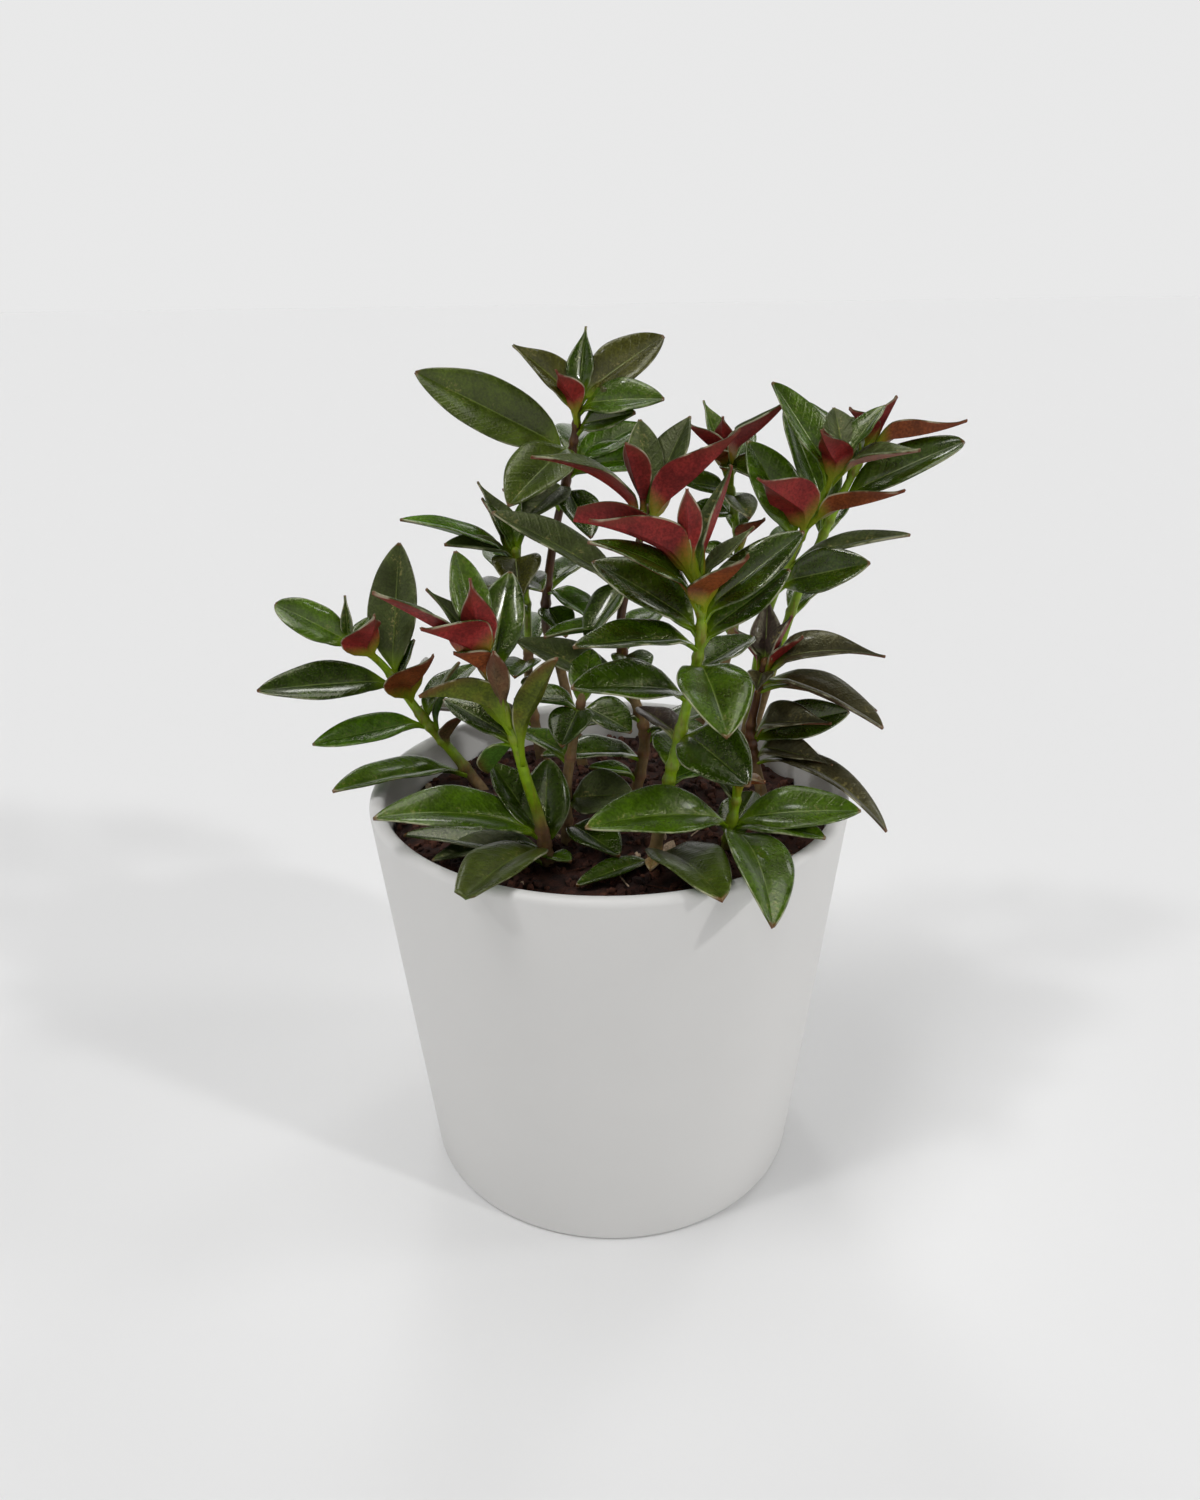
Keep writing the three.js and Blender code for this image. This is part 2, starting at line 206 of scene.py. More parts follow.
class Recipe:
    """A tree of nodes that are made one by one."""

    def __init__(self, tree, last):
        self.tree = tree
        self.last = self.tree.nodes[last]

    def node(self, kind, settings=None, sockets=None, output=0):
        """Makes a node of a kind, and gives one of its outputs."""
        made = self.tree.nodes.new(kind)
        for key, value in (settings or {}).items():
            setattr(made, key, value)
        for key, value in (sockets or {}).items():
            self.plug(made.inputs[key], value)
        return Field(self, made.outputs[output])

    def plug(self, socket, value):
        """Links a field to a socket, or sets the socket to a plain value."""
        if isinstance(value, Field):
            self.tree.links.new(value.socket, socket)
        else:
            socket.default_value = value

    def set(self, **values):
        """Sets sockets of the last node: coat_weight means its socket Coat Weight."""
        sockets = {socket.name.lower().replace(" ", "_"): socket for socket in self.last.inputs}
        for key, value in values.items():
            self.plug(sockets[key], value)

    def place(self, stretch=(1, 1, 1)):
        """The object's own coordinates, stretched along its axes."""
        coordinates = self.node("ShaderNodeTexCoord", output="Object")
        return self.node("ShaderNodeMapping", {}, {"Vector": coordinates, "Scale": stretch})

    def noise(self, size, detail=3, roughness=0.55, where=None):
        """Soft blotches about as large as size, in metres, from 0 to 1."""
        sockets = {
            "Vector": where or self.place(),
            "Scale": 1 / size,
            "Detail": detail,
            "Roughness": roughness,
        }
        return self.node("ShaderNodeTexNoise", {}, sockets)

    def attribute(self, name, output="Fac"):
        """What is stored on the points of the mesh under a name."""
        return self.node("ShaderNodeAttribute", {"attribute_name": name}, output=output)

    def parts(self, vector):
        """The three numbers of a vector."""
        split = self.tree.nodes.new("ShaderNodeSeparateXYZ")
        self.plug(split.inputs[0], vector)
        return [Field(self, socket) for socket in split.outputs]

    def mix(self, first, second, share, way="MIX"):
        """One colour over another, by a share from 0 to 1."""
        settings = {"data_type": "RGBA", "blend_type": way}
        return self.node("ShaderNodeMix", settings, {0: share, 6: first, 7: second}, output=2)

    def shaded(self, colour, light):
        """A colour made lighter or darker by a field around 1."""
        grey = self.node("ShaderNodeCombineColor", {}, {0: light, 1: light, 2: light})
        return self.mix(colour, grey, 1.0, "MULTIPLY")

    def bump(self, height, depth, strength=1.0, under=None):
        """A normal that follows a field from 0 to 1, depth metres deep."""
        sockets = {"Height": height, "Distance": depth, "Strength": strength}
        if under is not None:
            sockets["Normal"] = under
        return self.node("ShaderNodeBump", {}, sockets)


class Finish(Recipe):
    """A material, whose last node is its surface."""

    def __init__(self, name):
        self.material = bpy.data.materials.new(name)
        self.material.use_nodes = True
        super().__init__(self.material.node_tree, "Principled BSDF")


def colour(code, alpha=1.0):
    """A colour as written for a screen, such as "7c2a2e", in the linear values of a render."""
    channels = [int(code[start:start + 2], 16) / 255 for start in (0, 2, 4)]
    linear = [value / 12.92 if value <= 0.04045 else ((value + 0.055) / 1.055) ** 2.4
              for value in channels]
    return (*linear, alpha)


# %% [markdown]
# ## The pot
#
# The real pot is a moulded tapered cup with a matte skin. Its wall is nearly five millimetres
# thick, and the rim is rounded so much that it reads as a bright ring. A cone primitive with its
# point cut off has the right taper at once. An inset on the top face leaves the wall, and an
# extrusion pushes the inside down. Bevels with several steps then round the rim and the foot.

# %% Pot
POT_HEIGHT = 120 * MM
RIM_RADIUS = 70 * MM
FOOT_RADIUS = 57.5 * MM
WALL = 4.6 * MM
POT_FLOOR = 6 * MM
RIM_ROUND = 2.15 * MM
FOOT_ROUND = 1.4 * MM
POT_SIDES = 160
HAIR = 0.05 * MM


def outer_radius(height):
    """How wide the tapered outside of the pot is at a height."""
    return FOOT_RADIUS + (RIM_RADIUS - FOOT_RADIUS) * height / POT_HEIGHT


def runs_round(first, second):
    """True for an edge that runs round the pot, and not for one that crosses its wall."""
    return abs(first.xy.length - second.xy.length) < HAIR


def on_rim(first, second):
    return min(first.z, second.z) > POT_HEIGHT - HAIR and runs_round(first, second)


start_fresh()
bpy.ops.mesh.primitive_cone_add(
    vertices=POT_SIDES, radius1=FOOT_RADIUS, radius2=RIM_RADIUS,
    depth=POT_HEIGHT, location=(0, 0, POT_HEIGHT / 2),
)
pot = bpy.context.object
settle(pot)
bpy.ops.object.mode_set(mode="EDIT")
select_faces(pot, lambda middle, normal: normal.z > 0.9)
bpy.ops.mesh.inset(thickness=WALL)
bpy.ops.mesh.extrude_region_move(
    TRANSFORM_OT_translate={"value": (0, 0, POT_FLOOR - POT_HEIGHT)})
narrowing = (outer_radius(POT_FLOOR) - WALL) / (RIM_RADIUS - WALL)
bpy.ops.transform.resize(value=(narrowing, narrowing, 1), center_override=(0, 0, POT_FLOOR))
select_edges(pot, on_rim)
bpy.ops.mesh.bevel(offset=RIM_ROUND, segments=6, affect="EDGES")
select_edges(pot, lambda first, second: max(first.z, second.z) < HAIR)
bpy.ops.mesh.bevel(offset=FOOT_ROUND, segments=4, affect="EDGES")
settle(pot, smooth_degrees=40)
print("pot:", [round(value / MM, 1) for value in pot.dimensions], "mm")

# %% [markdown]
# The skin is nearly white but not quite: a cool grey-white, a little blotchy, with a very fine
# grain that breaks up reflections.

# %% Pot finish
pot_finish = Finish("matte white pot")
blotches = pot_finish.noise(35 * MM)
grain = pot_finish.noise(0.5 * MM, detail=2)
pot_finish.set(
    base_color=pot_finish.mix(colour("d2d1cf"), colour("d8d7d5"), blotches),
    roughness=blotches.ramp(0.3, 0.7, 0.44, 0.54),
    normal=pot_finish.bump(grain, 0.02 * MM, 0.5),
)
pot.data.materials.append(pot_finish.material)
keep(pot, "pot_shell", ["pot"])


# %% [markdown]
# ## The soil
#
# What shows of the soil is its broken top: crumbs of peat, fibres and a few pale specks. The bed is
# a disc drawn ring by ring. Two Displace modifiers roughen it, a coarse one for heaps and a fine
# one for grain, and the crumbs are scattered over it afterwards. The rings make the roughening even
# from the wall to the middle, which one big face couldn't do.

# %% Soil bed
SOIL_LEVEL = 108 * MM
SOIL_DEPTH = 101 * MM
SOIL_GAP = 0.5 * MM
SOIL_SIDES = 128
SOIL_RINGS = 36
SOIL_MOUND = 1.5 * MM
soil_radius = outer_radius(SOIL_LEVEL) - WALL - SOIL_GAP

start_fresh()
bpy.ops.mesh.primitive_circle_add(
    vertices=SOIL_SIDES, radius=soil_radius, location=(0, 0, SOIL_LEVEL))
bed = bpy.context.object
settle(bed)
bpy.ops.object.mode_set(mode="EDIT")
bpy.ops.mesh.select_all(action="SELECT")
for ring in range(1, SOIL_RINGS):
    here = (SOIL_RINGS - ring) / SOIL_RINGS
    before = (SOIL_RINGS - ring + 1) / SOIL_RINGS
    bpy.ops.mesh.extrude_edges_move()
    bpy.ops.transform.resize(value=(here / before, here / before, 1),
                             center_override=(0, 0, SOIL_LEVEL))
bpy.ops.mesh.edge_face_add()
bpy.ops.mesh.poke()
bpy.ops.mesh.select_all(action="SELECT")
bpy.ops.mesh.normals_make_consistent(inside=False)
bpy.ops.object.mode_set(mode="OBJECT")
if bed.data.polygons[0].normal.z < 0:
    bed.data.flip_normals()
for point in bed.data.vertices:
    share = point.co.xy.length / soil_radius
    point.co.z += SOIL_MOUND * (1 - share ** 2)
print("soil bed:", len(bed.data.vertices), "points")


# %% Soil roughness
def roughen(thing, texture, size, strength):
    """Pushes a surface in and out by a soft random pattern, and applies it."""
    pattern = bpy.data.textures.new(texture, type="CLOUDS")
    pattern.noise_scale = size
    modifier = thing.modifiers.new(texture, "DISPLACE")
    modifier.texture = pattern
    modifier.texture_coords = "LOCAL"
    modifier.strength = strength
    modifier.mid_level = 0.5
    make_active(thing)
    bpy.ops.object.modifier_apply(modifier=modifier.name)


roughen(bed, "heaps", 14 * MM, 3.2 * MM)
roughen(bed, "lumps", 4 * MM, 1.8 * MM)

# %% [markdown]
# The bed gets its side and its bottom too, so that it is one closed body like the real plug of
# peat, although only its top is ever seen.

# %% Soil sides
make_active(bed)
bpy.ops.object.mode_set(mode="EDIT")
bpy.ops.mesh.select_mode(type="EDGE")
bpy.ops.mesh.select_all(action="DESELECT")
bpy.ops.mesh.select_non_manifold()
bpy.ops.mesh.extrude_edges_move(TRANSFORM_OT_translate={"value": (0, 0, -SOIL_DEPTH)})
shrink = (outer_radius(SOIL_LEVEL - SOIL_DEPTH) - WALL - SOIL_GAP) / soil_radius
bpy.ops.transform.resize(value=(shrink, shrink, 0),
                         center_override=(0, 0, SOIL_LEVEL - SOIL_DEPTH))
bpy.ops.mesh.edge_face_add()
bpy.ops.mesh.select_all(action="SELECT")
bpy.ops.mesh.normals_make_consistent(inside=False)
settle(bed, smooth_degrees=60)


# %% [markdown]
# ## Crumbs
#
# A crumb starts as a cube: cut once, rounded, and knocked out of shape by a seeded random move of
# its points. Four different ones are enough, because each copy is turned and stretched in its own
# way. All copies go into one mesh, which is much lighter than a thousand objects.

# %% Many shapes in one mesh
def shape_of(thing):
    """The points and the faces of an object, as plain arrays."""
    points = np.array([point.co[:] for point in thing.data.vertices])
    faces = [list(face.vertices) for face in thing.data.polygons]
    return points, faces


def one_mesh(name, blocks):
    """Puts blocks of (points, faces) together in one new object."""
    points, faces, start = [], [], 0
    for block_points, block_faces in blocks:
        points.append(block_points)
        faces.extend([[index + start for index in face] for face in block_faces])
        start += len(block_points)
    mesh = bpy.data.meshes.new(name)
    mesh.from_pydata(np.concatenate(points).tolist(), [], faces)
    mesh.validate()
    thing = bpy.data.objects.new(name, mesh)
    bpy.context.collection.objects.link(thing)
    return thing


def point_values(thing, name, values):
    """Stores a number, a vector or a colour at every point of a mesh, for its finish to read."""
    values = np.asarray(values, dtype=np.float32)
    width = 1 if values.ndim == 1 else values.shape[1]
    kind, field = {
        1: ("FLOAT", "value"),
        3: ("FLOAT_VECTOR", "vector"),
        4: ("FLOAT_COLOR", "color"),
    }[width]
    layer = thing.data.attributes.new(name, kind, "POINT")
    layer.data.foreach_set(field, values.ravel())


# %% Crumb shapes
CRUMB_SHAPES = 4
CRUMB_KNOCK = 0.16


def crumb_shape(seed):
    """A lump about one unit across, different for every seed."""
    start_fresh()
    bpy.ops.mesh.primitive_cube_add(size=1)
    crumb = bpy.context.object
    bpy.ops.object.mode_set(mode="EDIT")
    bpy.ops.mesh.select_all(action="SELECT")
    bpy.ops.mesh.subdivide(number_cuts=1)
    bpy.ops.transform.tosphere(value=0.7)
    bpy.ops.transform.vertex_random(offset=CRUMB_KNOCK, uniform=1, seed=seed)
    bpy.ops.object.mode_set(mode="OBJECT")
    shape = shape_of(crumb)
    bpy.data.objects.remove(crumb)
    return shape


crumb_shapes = [crumb_shape(seed) for seed in range(CRUMB_SHAPES)]
print("crumb shapes:", CRUMB_SHAPES, "of", len(crumb_shapes[0][1]), "faces each")

# %% [markdown]
# Each crumb is dropped from the height of the rim at a random place, and lies where it meets the
# bed. Short fibres, which are the same lumps drawn out to thin sticks, lie among them. The random
# numbers come from one seeded source, so that every run scatters the same soil.

# %% Scattered crumbs
CRUMB_COUNT = 1500
FIBRE_COUNT = 170
CRUMB_REACH = 0.985
FIBRE_REACH = 0.9
CRUMB_LIFT = np.array([0, 0, 0.2 * MM])
SPECK_SHARE = 0.018
chance = random.Random(7)
bed_tree = BVHTree.FromObject(bed, bpy.context.evaluated_depsgraph_get())


def on_soil(reach):
    """A random point on top of the soil, no further out than a share of its radius."""
    while True:
        distance = soil_radius * reach * math.sqrt(chance.random())
        angle = chance.uniform(0, math.tau)
        x, y = distance * math.cos(angle), distance * math.sin(angle)
        hit = bed_tree.ray_cast(Vector((x, y, POT_HEIGHT)), Vector((0, 0, -1)))[0]
        if hit:
            return np.array(hit)


def loose_crumb(points):
    """A crumb of a random size, turned any way up."""
    size = chance.triangular(0.5, 3.4, 0.9) * MM
    stretch = size * np.array([chance.uniform(0.6, 1.5), chance.uniform(0.6, 1.2), 0.7])
    turn = Matrix.Identity(3)
    for angle, axis in zip([chance.uniform(0, math.tau) for _ in range(3)], "XYZ"):
        turn = turn @ Matrix.Rotation(angle, 3, axis)
    return (points * stretch) @ np.array(turn).T


def fibre(points):
    """A thin stick that lies nearly flat."""
    stretch = np.array([chance.uniform(3, 9), chance.uniform(0.3, 0.6), 0.35]) * MM
    lean = Matrix.Rotation(chance.uniform(0, math.tau), 3, "Z")
    lean = lean @ Matrix.Rotation(chance.uniform(-0.5, 0.5), 3, "Y")
    return (points * stretch) @ np.array(lean).T


crumb_blocks, crumb_tones = [], []
for index in range(CRUMB_COUNT + FIBRE_COUNT):
    points, faces = crumb_shapes[index % CRUMB_SHAPES]
    if index < CRUMB_COUNT:
        lump = loose_crumb(points) + on_soil(CRUMB_REACH)
    else:
        lump = fibre(points) + on_soil(FIBRE_REACH)
    crumb_blocks.append((lump + CRUMB_LIFT, faces))
    pale = 1.0 if chance.random() < SPECK_SHARE else chance.uniform(0, 0.55)
    crumb_tones.append(np.full(len(points), pale))

crumbs = one_mesh("crumbs", crumb_blocks)
point_values(crumbs, "pale", np.concatenate(crumb_tones))
point_values(bed, "pale", np.full(len(bed.data.vertices), 0.1))
settle(crumbs, smooth_degrees=50)

# %% [markdown]
# Moist peat is a dark reddish brown that changes from crumb to crumb. The value stored on each
# crumb, `pale`, moves it from nearly black through brown to the few specks that are almost tan.

# %% Soil finish
soil_finish = Finish("moist peat")
damp = soil_finish.noise(5 * MM, detail=4)
fine = soil_finish.noise(0.6 * MM, detail=3)
pale = soil_finish.attribute("pale")
earth = soil_finish.mix(colour("210f0a"), colour("4c281b"), damp.ramp(0.3, 0.7))
earth = soil_finish.mix(earth, colour("5c3524"), pale.ramp(0.1, 0.6))
earth = soil_finish.mix(earth, colour("c0a78c"), pale.ramp(0.8, 1))
soil_finish.set(
    base_color=soil_finish.shaded(earth, fine.ramp(0.3, 0.7, 0.6, 1.25)),
    roughness=0.92,
    normal=soil_finish.bump(fine, 0.35 * MM, 0.9),
)
for piece, name in ((bed, "soil_bed"), (crumbs, "soil_crumbs")):
    piece.data.materials.append(soil_finish.material)
    keep(piece, name, ["soil"])


# %% [markdown]
# ## How each stem grows
#
# The stems and leaves are the same list that the solid model was built from, in millimetres. A stem
# is the points it passes, from the soil up, how high its bark reaches, and the colour above that.
# A leaf is: how far up the stem it grows, its heading (0 is +X, 90 is +Y), its rise, length, width,
# arch and roll, and then the colours of its upper face and of its underside. All angles are in
# degrees.
#
# A leaf that departs from its kind has values of its own at the end of its row:
#
# - `early`: below 1, the blade is widest nearer to its stalk.
# - `full` and `taper`: how pointed the outline is at the stalk and at the tip. 0.5 is round, 1 is
#   like a lens and 1.6 is drawn out to a long point.
# - `fold` and `closing`: how far the halves stand up from the midrib, and how much more at the tip.
# - `drop`: how far the stalk reaches down along the stem, in millimetres.
# - `cut`: the share of its length at which the blade ends bluntly.

# %% The list of stems
SPRIGS = {}

# %% [markdown]
# Three stems stand on the left. The far one leans out over the rim, the front one has a blunt leaf
# that hangs over the rim, and the one behind them is mostly seen through the gaps.

# %% The far left stem
SPRIGS["sprig_far_left"] = {
    "stem": [(-40, 20, 109), (-48, 20, 121), (-56, 20, 132), (-64, 20, 145),
             (-69, 18, 153), (-77, 16, 160)],
    "bark": 114, "shoot": "lime",
    "leaves": [
        (9, -137, 9, 47, 16, 12, -5, "green", "pale"),
        (29, -163, -8, 34, 12, 5, -30, "bright", "pale"),
        (44, -160, 2, 40, 15, 12, -35, "dark", "olive"),
        (62, 170, 25, 25, 12, 12, -45, "green", "olive", {"full": 0.6, "taper": 0.5}),
        (63, 90, 80, 13, 4, 0, 0, "dark", "rust"),
        (59, -58, 42, 21, 15, -30, 15, "dark", "wine", {"early": 0.5}),
        (46, 75, 67, 40, 17, 5, 0, "grey", "pale"),
        (43, 40, 60, 14, 7, 0, 0, "dark", "olive"),
        (41, -45, 40, 22, 19, -30, 10, "olive", "rust", {"early": 0.5}),
        (62, 55, 35, 10, 5, 0, 0, "green", "olive"),
        (20, -30, 50, 13, 9, 10, 0, "brown", "brown"),
        (26, 25, 62, 22, 10, 10, -20, "grey", "pale"),
        (31, 60, 15, 30, 12, 15, 0, "green", "pale"),
    ],
}

# %% The front left stem
SPRIGS["sprig_front_left"] = {
    "stem": [(-17, -30, 109), (-19, -32, 124), (-22, -34, 137), (-25, -35, 151),
             (-28, -36, 162), (-32, -38, 176)],
    "bark": 121, "shoot": "lime",
    "leaves": [
        (6, -113, 9, 47, 18, 25, 0, "worn", "pale", {"cut": 0.93}),
        (3, -40, 8, 9, 7, 0, 0, "green", "pale"),
        (11, -164, 13, 45, 18, 40, -15, "green", "pale"),
        (7, -178, -8, 31, 14, 15, 0, "grey", "pale"),
        (3, 171, 6, 40, 13, 5, 0, "dark", "pale"),
        (7, -150, -14, 20, 13, 5, 0, "dark", "pale"),
        (9, 142, 42, 25, 15, 5, 0, "dark", "pale"),
        (6, 88, 58, 24, 14, 5, 0, "dark", "pale"),
        (41, 140, -50, 17, 13, 0, 0, "bright", "pale"),
        (40, -35, 58, 29, 9, 15, -25, "grey", "olive", {"drop": 7, "closing": 0.3}),
        (40, 154, 22, 22, 11, 5, -15, "dark", "pale"),
        (48, -150, 22, 24, 13, 40, 35, "grey", "olive",
         {"early": 0.55, "full": 1.2, "drop": 9, "closing": 0.5}),
        (49, -100, 64, 20, 6, -15, 0, "brown", "brown", {"early": 1.1, "drop": 5, "taper": 0.9}),
        (60, -135, 35, 13, 11, 10, 10, "dark", "rust"),
        (59, 75, 56, 27, 13, 5, 10, "dark", "olive"),
        (66, -157, 35, 31, 9, 5, 5, "grey", "wine", {"closing": 0.2, "early": 0.8}),
        (66, -132, 28, 21, 16, 10, 25, "dark", "wine",
         {"early": 0.5, "full": 1.1, "taper": 1.7, "drop": 7}),
        (66, -93, 66, 22, 10, -10, 0, "dark", "wine", {"early": 0.6, "taper": 1.8}),
        (67, 125, 64, 24, 11, 5, 0, "green", "olive"),
        (67, 165, 45, 19, 8, 10, -20, "grey", "rust"),
    ],
}

# %% The back left stem
SPRIGS["sprig_back_left"] = {
    "stem": [(-22, 42, 109), (-25, 42, 134), (-25, 42, 148), (-25, 42, 164), (-28, 40, 182)],
    "bark": 146, "shoot": "lime",
    "leaves": [
        (16, 178, 5, 38, 15, 5, 0, "purple", "purple"),
        (25, -75, 38, 15, 8, 0, 0, "green", "pale"),
        (38, 95, 10, 30, 13, 20, 0, "green", "pale"),
        (54, -121, 2, 17, 8, 0, 0, "green", "pale"),
        (59, -122, 14, 23, 14, 10, 0, "dark", "pale"),
        (62, -70, 5, 21, 11, 10, 20, "green", "pale"),
        (60, 120, 15, 28, 12, 15, 0, "green", "pale"),
        (70, -166, 22, 37, 12, 20, -10, "bright", "pale"),
        (71, 132, 50, 26, 11, 5, 0, "grey", "rust"),
        (71, -149, 14, 24, 10, 10, -20, "grey", "pale"),
        (72, -85, -30, 25, 17, 20, 0, "olive", "rust"),
        (73, 149, 51, 18, 8, 0, 0, "dark", "rust"),
        (73, 50, 60, 18, 9, -10, 0, "green", "olive"),
        (36, -100, 0, 18, 13, 10, 0, "green", "pale"),
    ],
}

# %% [markdown]
# Three stems make the middle. The tallest is old, with a maroon shoot and large dull leaves. The
# other two end in the wine red rosettes that catch the eye first.

# %% The tallest stem
SPRIGS["sprig_tallest"] = {
    "stem": [(-8, 36, 109), (-15, 38, 144), (-19, 40, 158), (-16, 40, 182),
             (-11, 38, 203), (-8, 36, 218), (-7, 34, 229)],
    "bark": 150, "shoot": "maroon",
    "leaves": [
        (62, -35, -25, 20, 14, 0, 0, "bright", "lime"),
        (62, 60, 5, 30, 13, 20, 0, "green", "pale"),
        (89, -149, 15, 20, 9, 10, 0, "green", "pale"),
        (94, -70, -30, 24, 13, 10, 0, "dark", "pale"),
        (95, -118, -17, 25, 13, 15, -20, "grey", "pale"),
        (99, 5, 5, 28, 14, 10, 40, "bright", "olive"),
        (104, 172, 26, 51, 19, 0, -60, "matte", "pale"),
        (104, 85, 5, 34, 15, 20, 0, "green", "pale"),
        (107, -134, -31, 30, 20, 20, -20, "matte", "pale"),
        (101, 25, 20, 26, 11, 5, 40, "bright", "pale"),
        (112, -32, 12, 20, 11, -5, 50, "dark", "olive"),
        (118, -23, 3, 26, 13, 15, 45, "green", "olive"),
        (119, 164, 38, 26, 13, 5, -35, "olive", "rust", {"cut": 0.93}),
        (120, 14, 31, 30, 15, 10, 50, "olive", "olive"),
        (118, -125, 45, 14, 9, -20, 20, "grey", "wine", {"early": 0.6, "drop": 6}),
        (121, 75, 61, 20, 9, 0, 0, "dark", "wine"),
        (56, -66, -22, 17, 12, 10, 0, "green", "pale"),
    ],
}

# %% The centre stem
SPRIGS["sprig_centre"] = {
    "stem": [(8, 10, 109), (11, 8, 131), (6, 8, 149), (4, 6, 167), (8, 5, 185), (12, 5, 201)],
    "bark": 150, "shoot": "maroon",
    "leaves": [
        (9, -170, 15, 16, 9, 0, 0, "lime", "lime"),
        (17, 179, -2, 31, 18, 5, 0, "dark", "pale"),
        (23, 20, 10, 28, 12, 15, 0, "green", "pale"),
        (37, 173, 24, 37, 15, 10, -20, "grey", "olive"),
        (52, 60, 10, 28, 12, 15, 0, "green", "pale"),
        (58, -160, 0, 23, 12, 10, 0, "green", "pale"),
        (73, -150, -48, 22, 15, 10, 0, "dark", "pale"),
        (70, 171, 27, 43, 15, 10, -20, "grey", "olive"),
        (72, 40, 15, 26, 11, 15, 0, "green", "pale"),
        (90, -164, 30, 36, 18, 50, -5, "grey", "wine",
         {"fold": 0.35, "closing": 0.0, "early": 0.7, "taper": 1.2}),
        (92, -125, 60, 22, 10, -5, 0, "dark", "wine", {"early": 1.4, "taper": 0.9}),
        (93, 100, 64, 24, 11, 5, 0, "grey", "wine",
         {"early": 0.95, "full": 0.75, "taper": 0.8, "closing": 0.0}),
        (93, 40, 56, 27, 15, 5, 0, "grey", "wine",
         {"early": 0.9, "full": 0.85, "taper": 0.9, "closing": 0.0}),
        (92, -19, 42, 33, 15, -20, -30, "grey", "wine", {"early": 0.6, "fold": 0.6}),
        (50, -72, -8, 17, 13, 10, 0, "dark", "pale"),
        (30, -150, 0, 20, 13, 10, 0, "dark", "pale"),
        (26, -20, 0, 20, 13, 10, 0, "green", "pale"),
    ],
}

# %% The front stem
SPRIGS["sprig_front"] = {
    "stem": [(12, -30, 109), (13, -31, 118), (16, -32, 136), (20, -33, 156),
             (23, -34, 174), (22, -35, 187), (20, -35, 195)],
    "bark": 118, "shoot": "lime",
    "leaves": [
        (4, -71, 11, 44, 19, 30, 0, "matte", "pale", {"full": 0.65, "taper": 0.55}),
        (2, -143, 0, 26, 9, 5, 0, "dark", "pale"),
        (2, -100, 5, 9, 4, 10, 0, "dead", "dead"),
        (26, 20, 10, 15, 8, 10, 10, "bright", "lime"),
        (41, -56, -14, 27, 18, 15, 25, "dark", "pale"),
        (39, 115, 2, 22, 10, 5, 0, "purple", "purple"),
        (52, -161, 9, 32, 17, 10, -20, "dark", "pale"),
        (57, 38, 13, 22, 14, 5, 0, "dark", "pale"),
        (61, -79, -20, 30, 19, 20, 0, "green", "pale"),
        (66, -162, 3, 33, 14, 10, -15, "dark", "pale"),
        (67, 12, 33, 27, 12, -5, 30, "dark", "lime"),
        (69, 158, 27, 32, 17, 10, -25, "dark", "pale"),
        (73, 5, 38, 31, 13, -5, 40, "dark", "pale"),
        (78, -57, 36, 21, 14, -20, 15, "grey", "rust", {"early": 0.45, "drop": 5}),
        (78, -171, 27, 30, 13, 35, -15, "dark", "wine",
         {"fold": 0.25, "closing": 0.0, "early": 0.8, "taper": 1.0}),
        (82, 25, 35, 19, 6, -10, 10, "grey", "wine", {"closing": 0.0, "early": 0.8}),
        (86, -164, 25, 28, 13, 35, 40, "dark", "wine", {"early": 0.5}),
        (85, 178, 20, 36, 14, 40, 40, "dark", "wine", {"cut": 0.85, "early": 0.9, "taper": 0.9}),
        (87, -105, 72, 18, 7, -10, 0, "dark", "wine", {"early": 0.95, "taper": 1.0}),
        (85, 35, 65, 25, 8, -15, -12, "grey", "wine", {"early": 0.7, "fold": 0.6}),
        (30, 80, 8, 20, 13, 10, 0, "green", "pale"),
    ],
}

# %% [markdown]
# Five stems fill the right. Two lean out at the back, and the low brown one in the middle has the
# oldest leaves. The short one in front has the broad leaves that hang over the rim.

# %% The far back stem
SPRIGS["sprig_far_back"] = {
    "stem": [(26, 44, 109), (40, 45, 146), (42, 46, 175), (40, 46, 191), (36, 45, 210)],
    "bark": 150, "shoot": "lime",
    "leaves": [
        (45, 100, 15, 28, 12, 15, 0, "green", "pale"),
        (70, -160, 15, 15, 8, 0, -30, "green", "pale"),
        (76, -50, 35, 13, 9, -10, 0, "olive", "rust"),
        (78, 80, 15, 28, 12, 15, 0, "green", "pale"),
        (84, -150, 8, 16, 9, 5, -30, "green", "pale"),
        (90, -81, -10, 21, 10, 10, 0, "grey", "pale"),
        (91, -150, 14, 19, 10, 5, -40, "green", "pale"),
        (96, 60, 30, 22, 10, 10, 0, "green", "olive"),
        (100, -62, -12, 15, 11, 0, 20, "dark", "wine"),
        (101, -128, 13, 17, 9, 0, 0, "olive", "rust"),
        (103, 120, 50, 18, 9, -10, 0, "green", "rust"),
        (103, -26, 40, 25, 13, -20, 10, "grey", "wine", {"early": 0.45, "drop": 11, "fold": 0.6}),
        (103, -143, 34, 17, 9, -15, 0, "dark", "wine"),
        (103, -109, 71, 11, 7, 0, 0, "dark", "wine"),
    ],
}

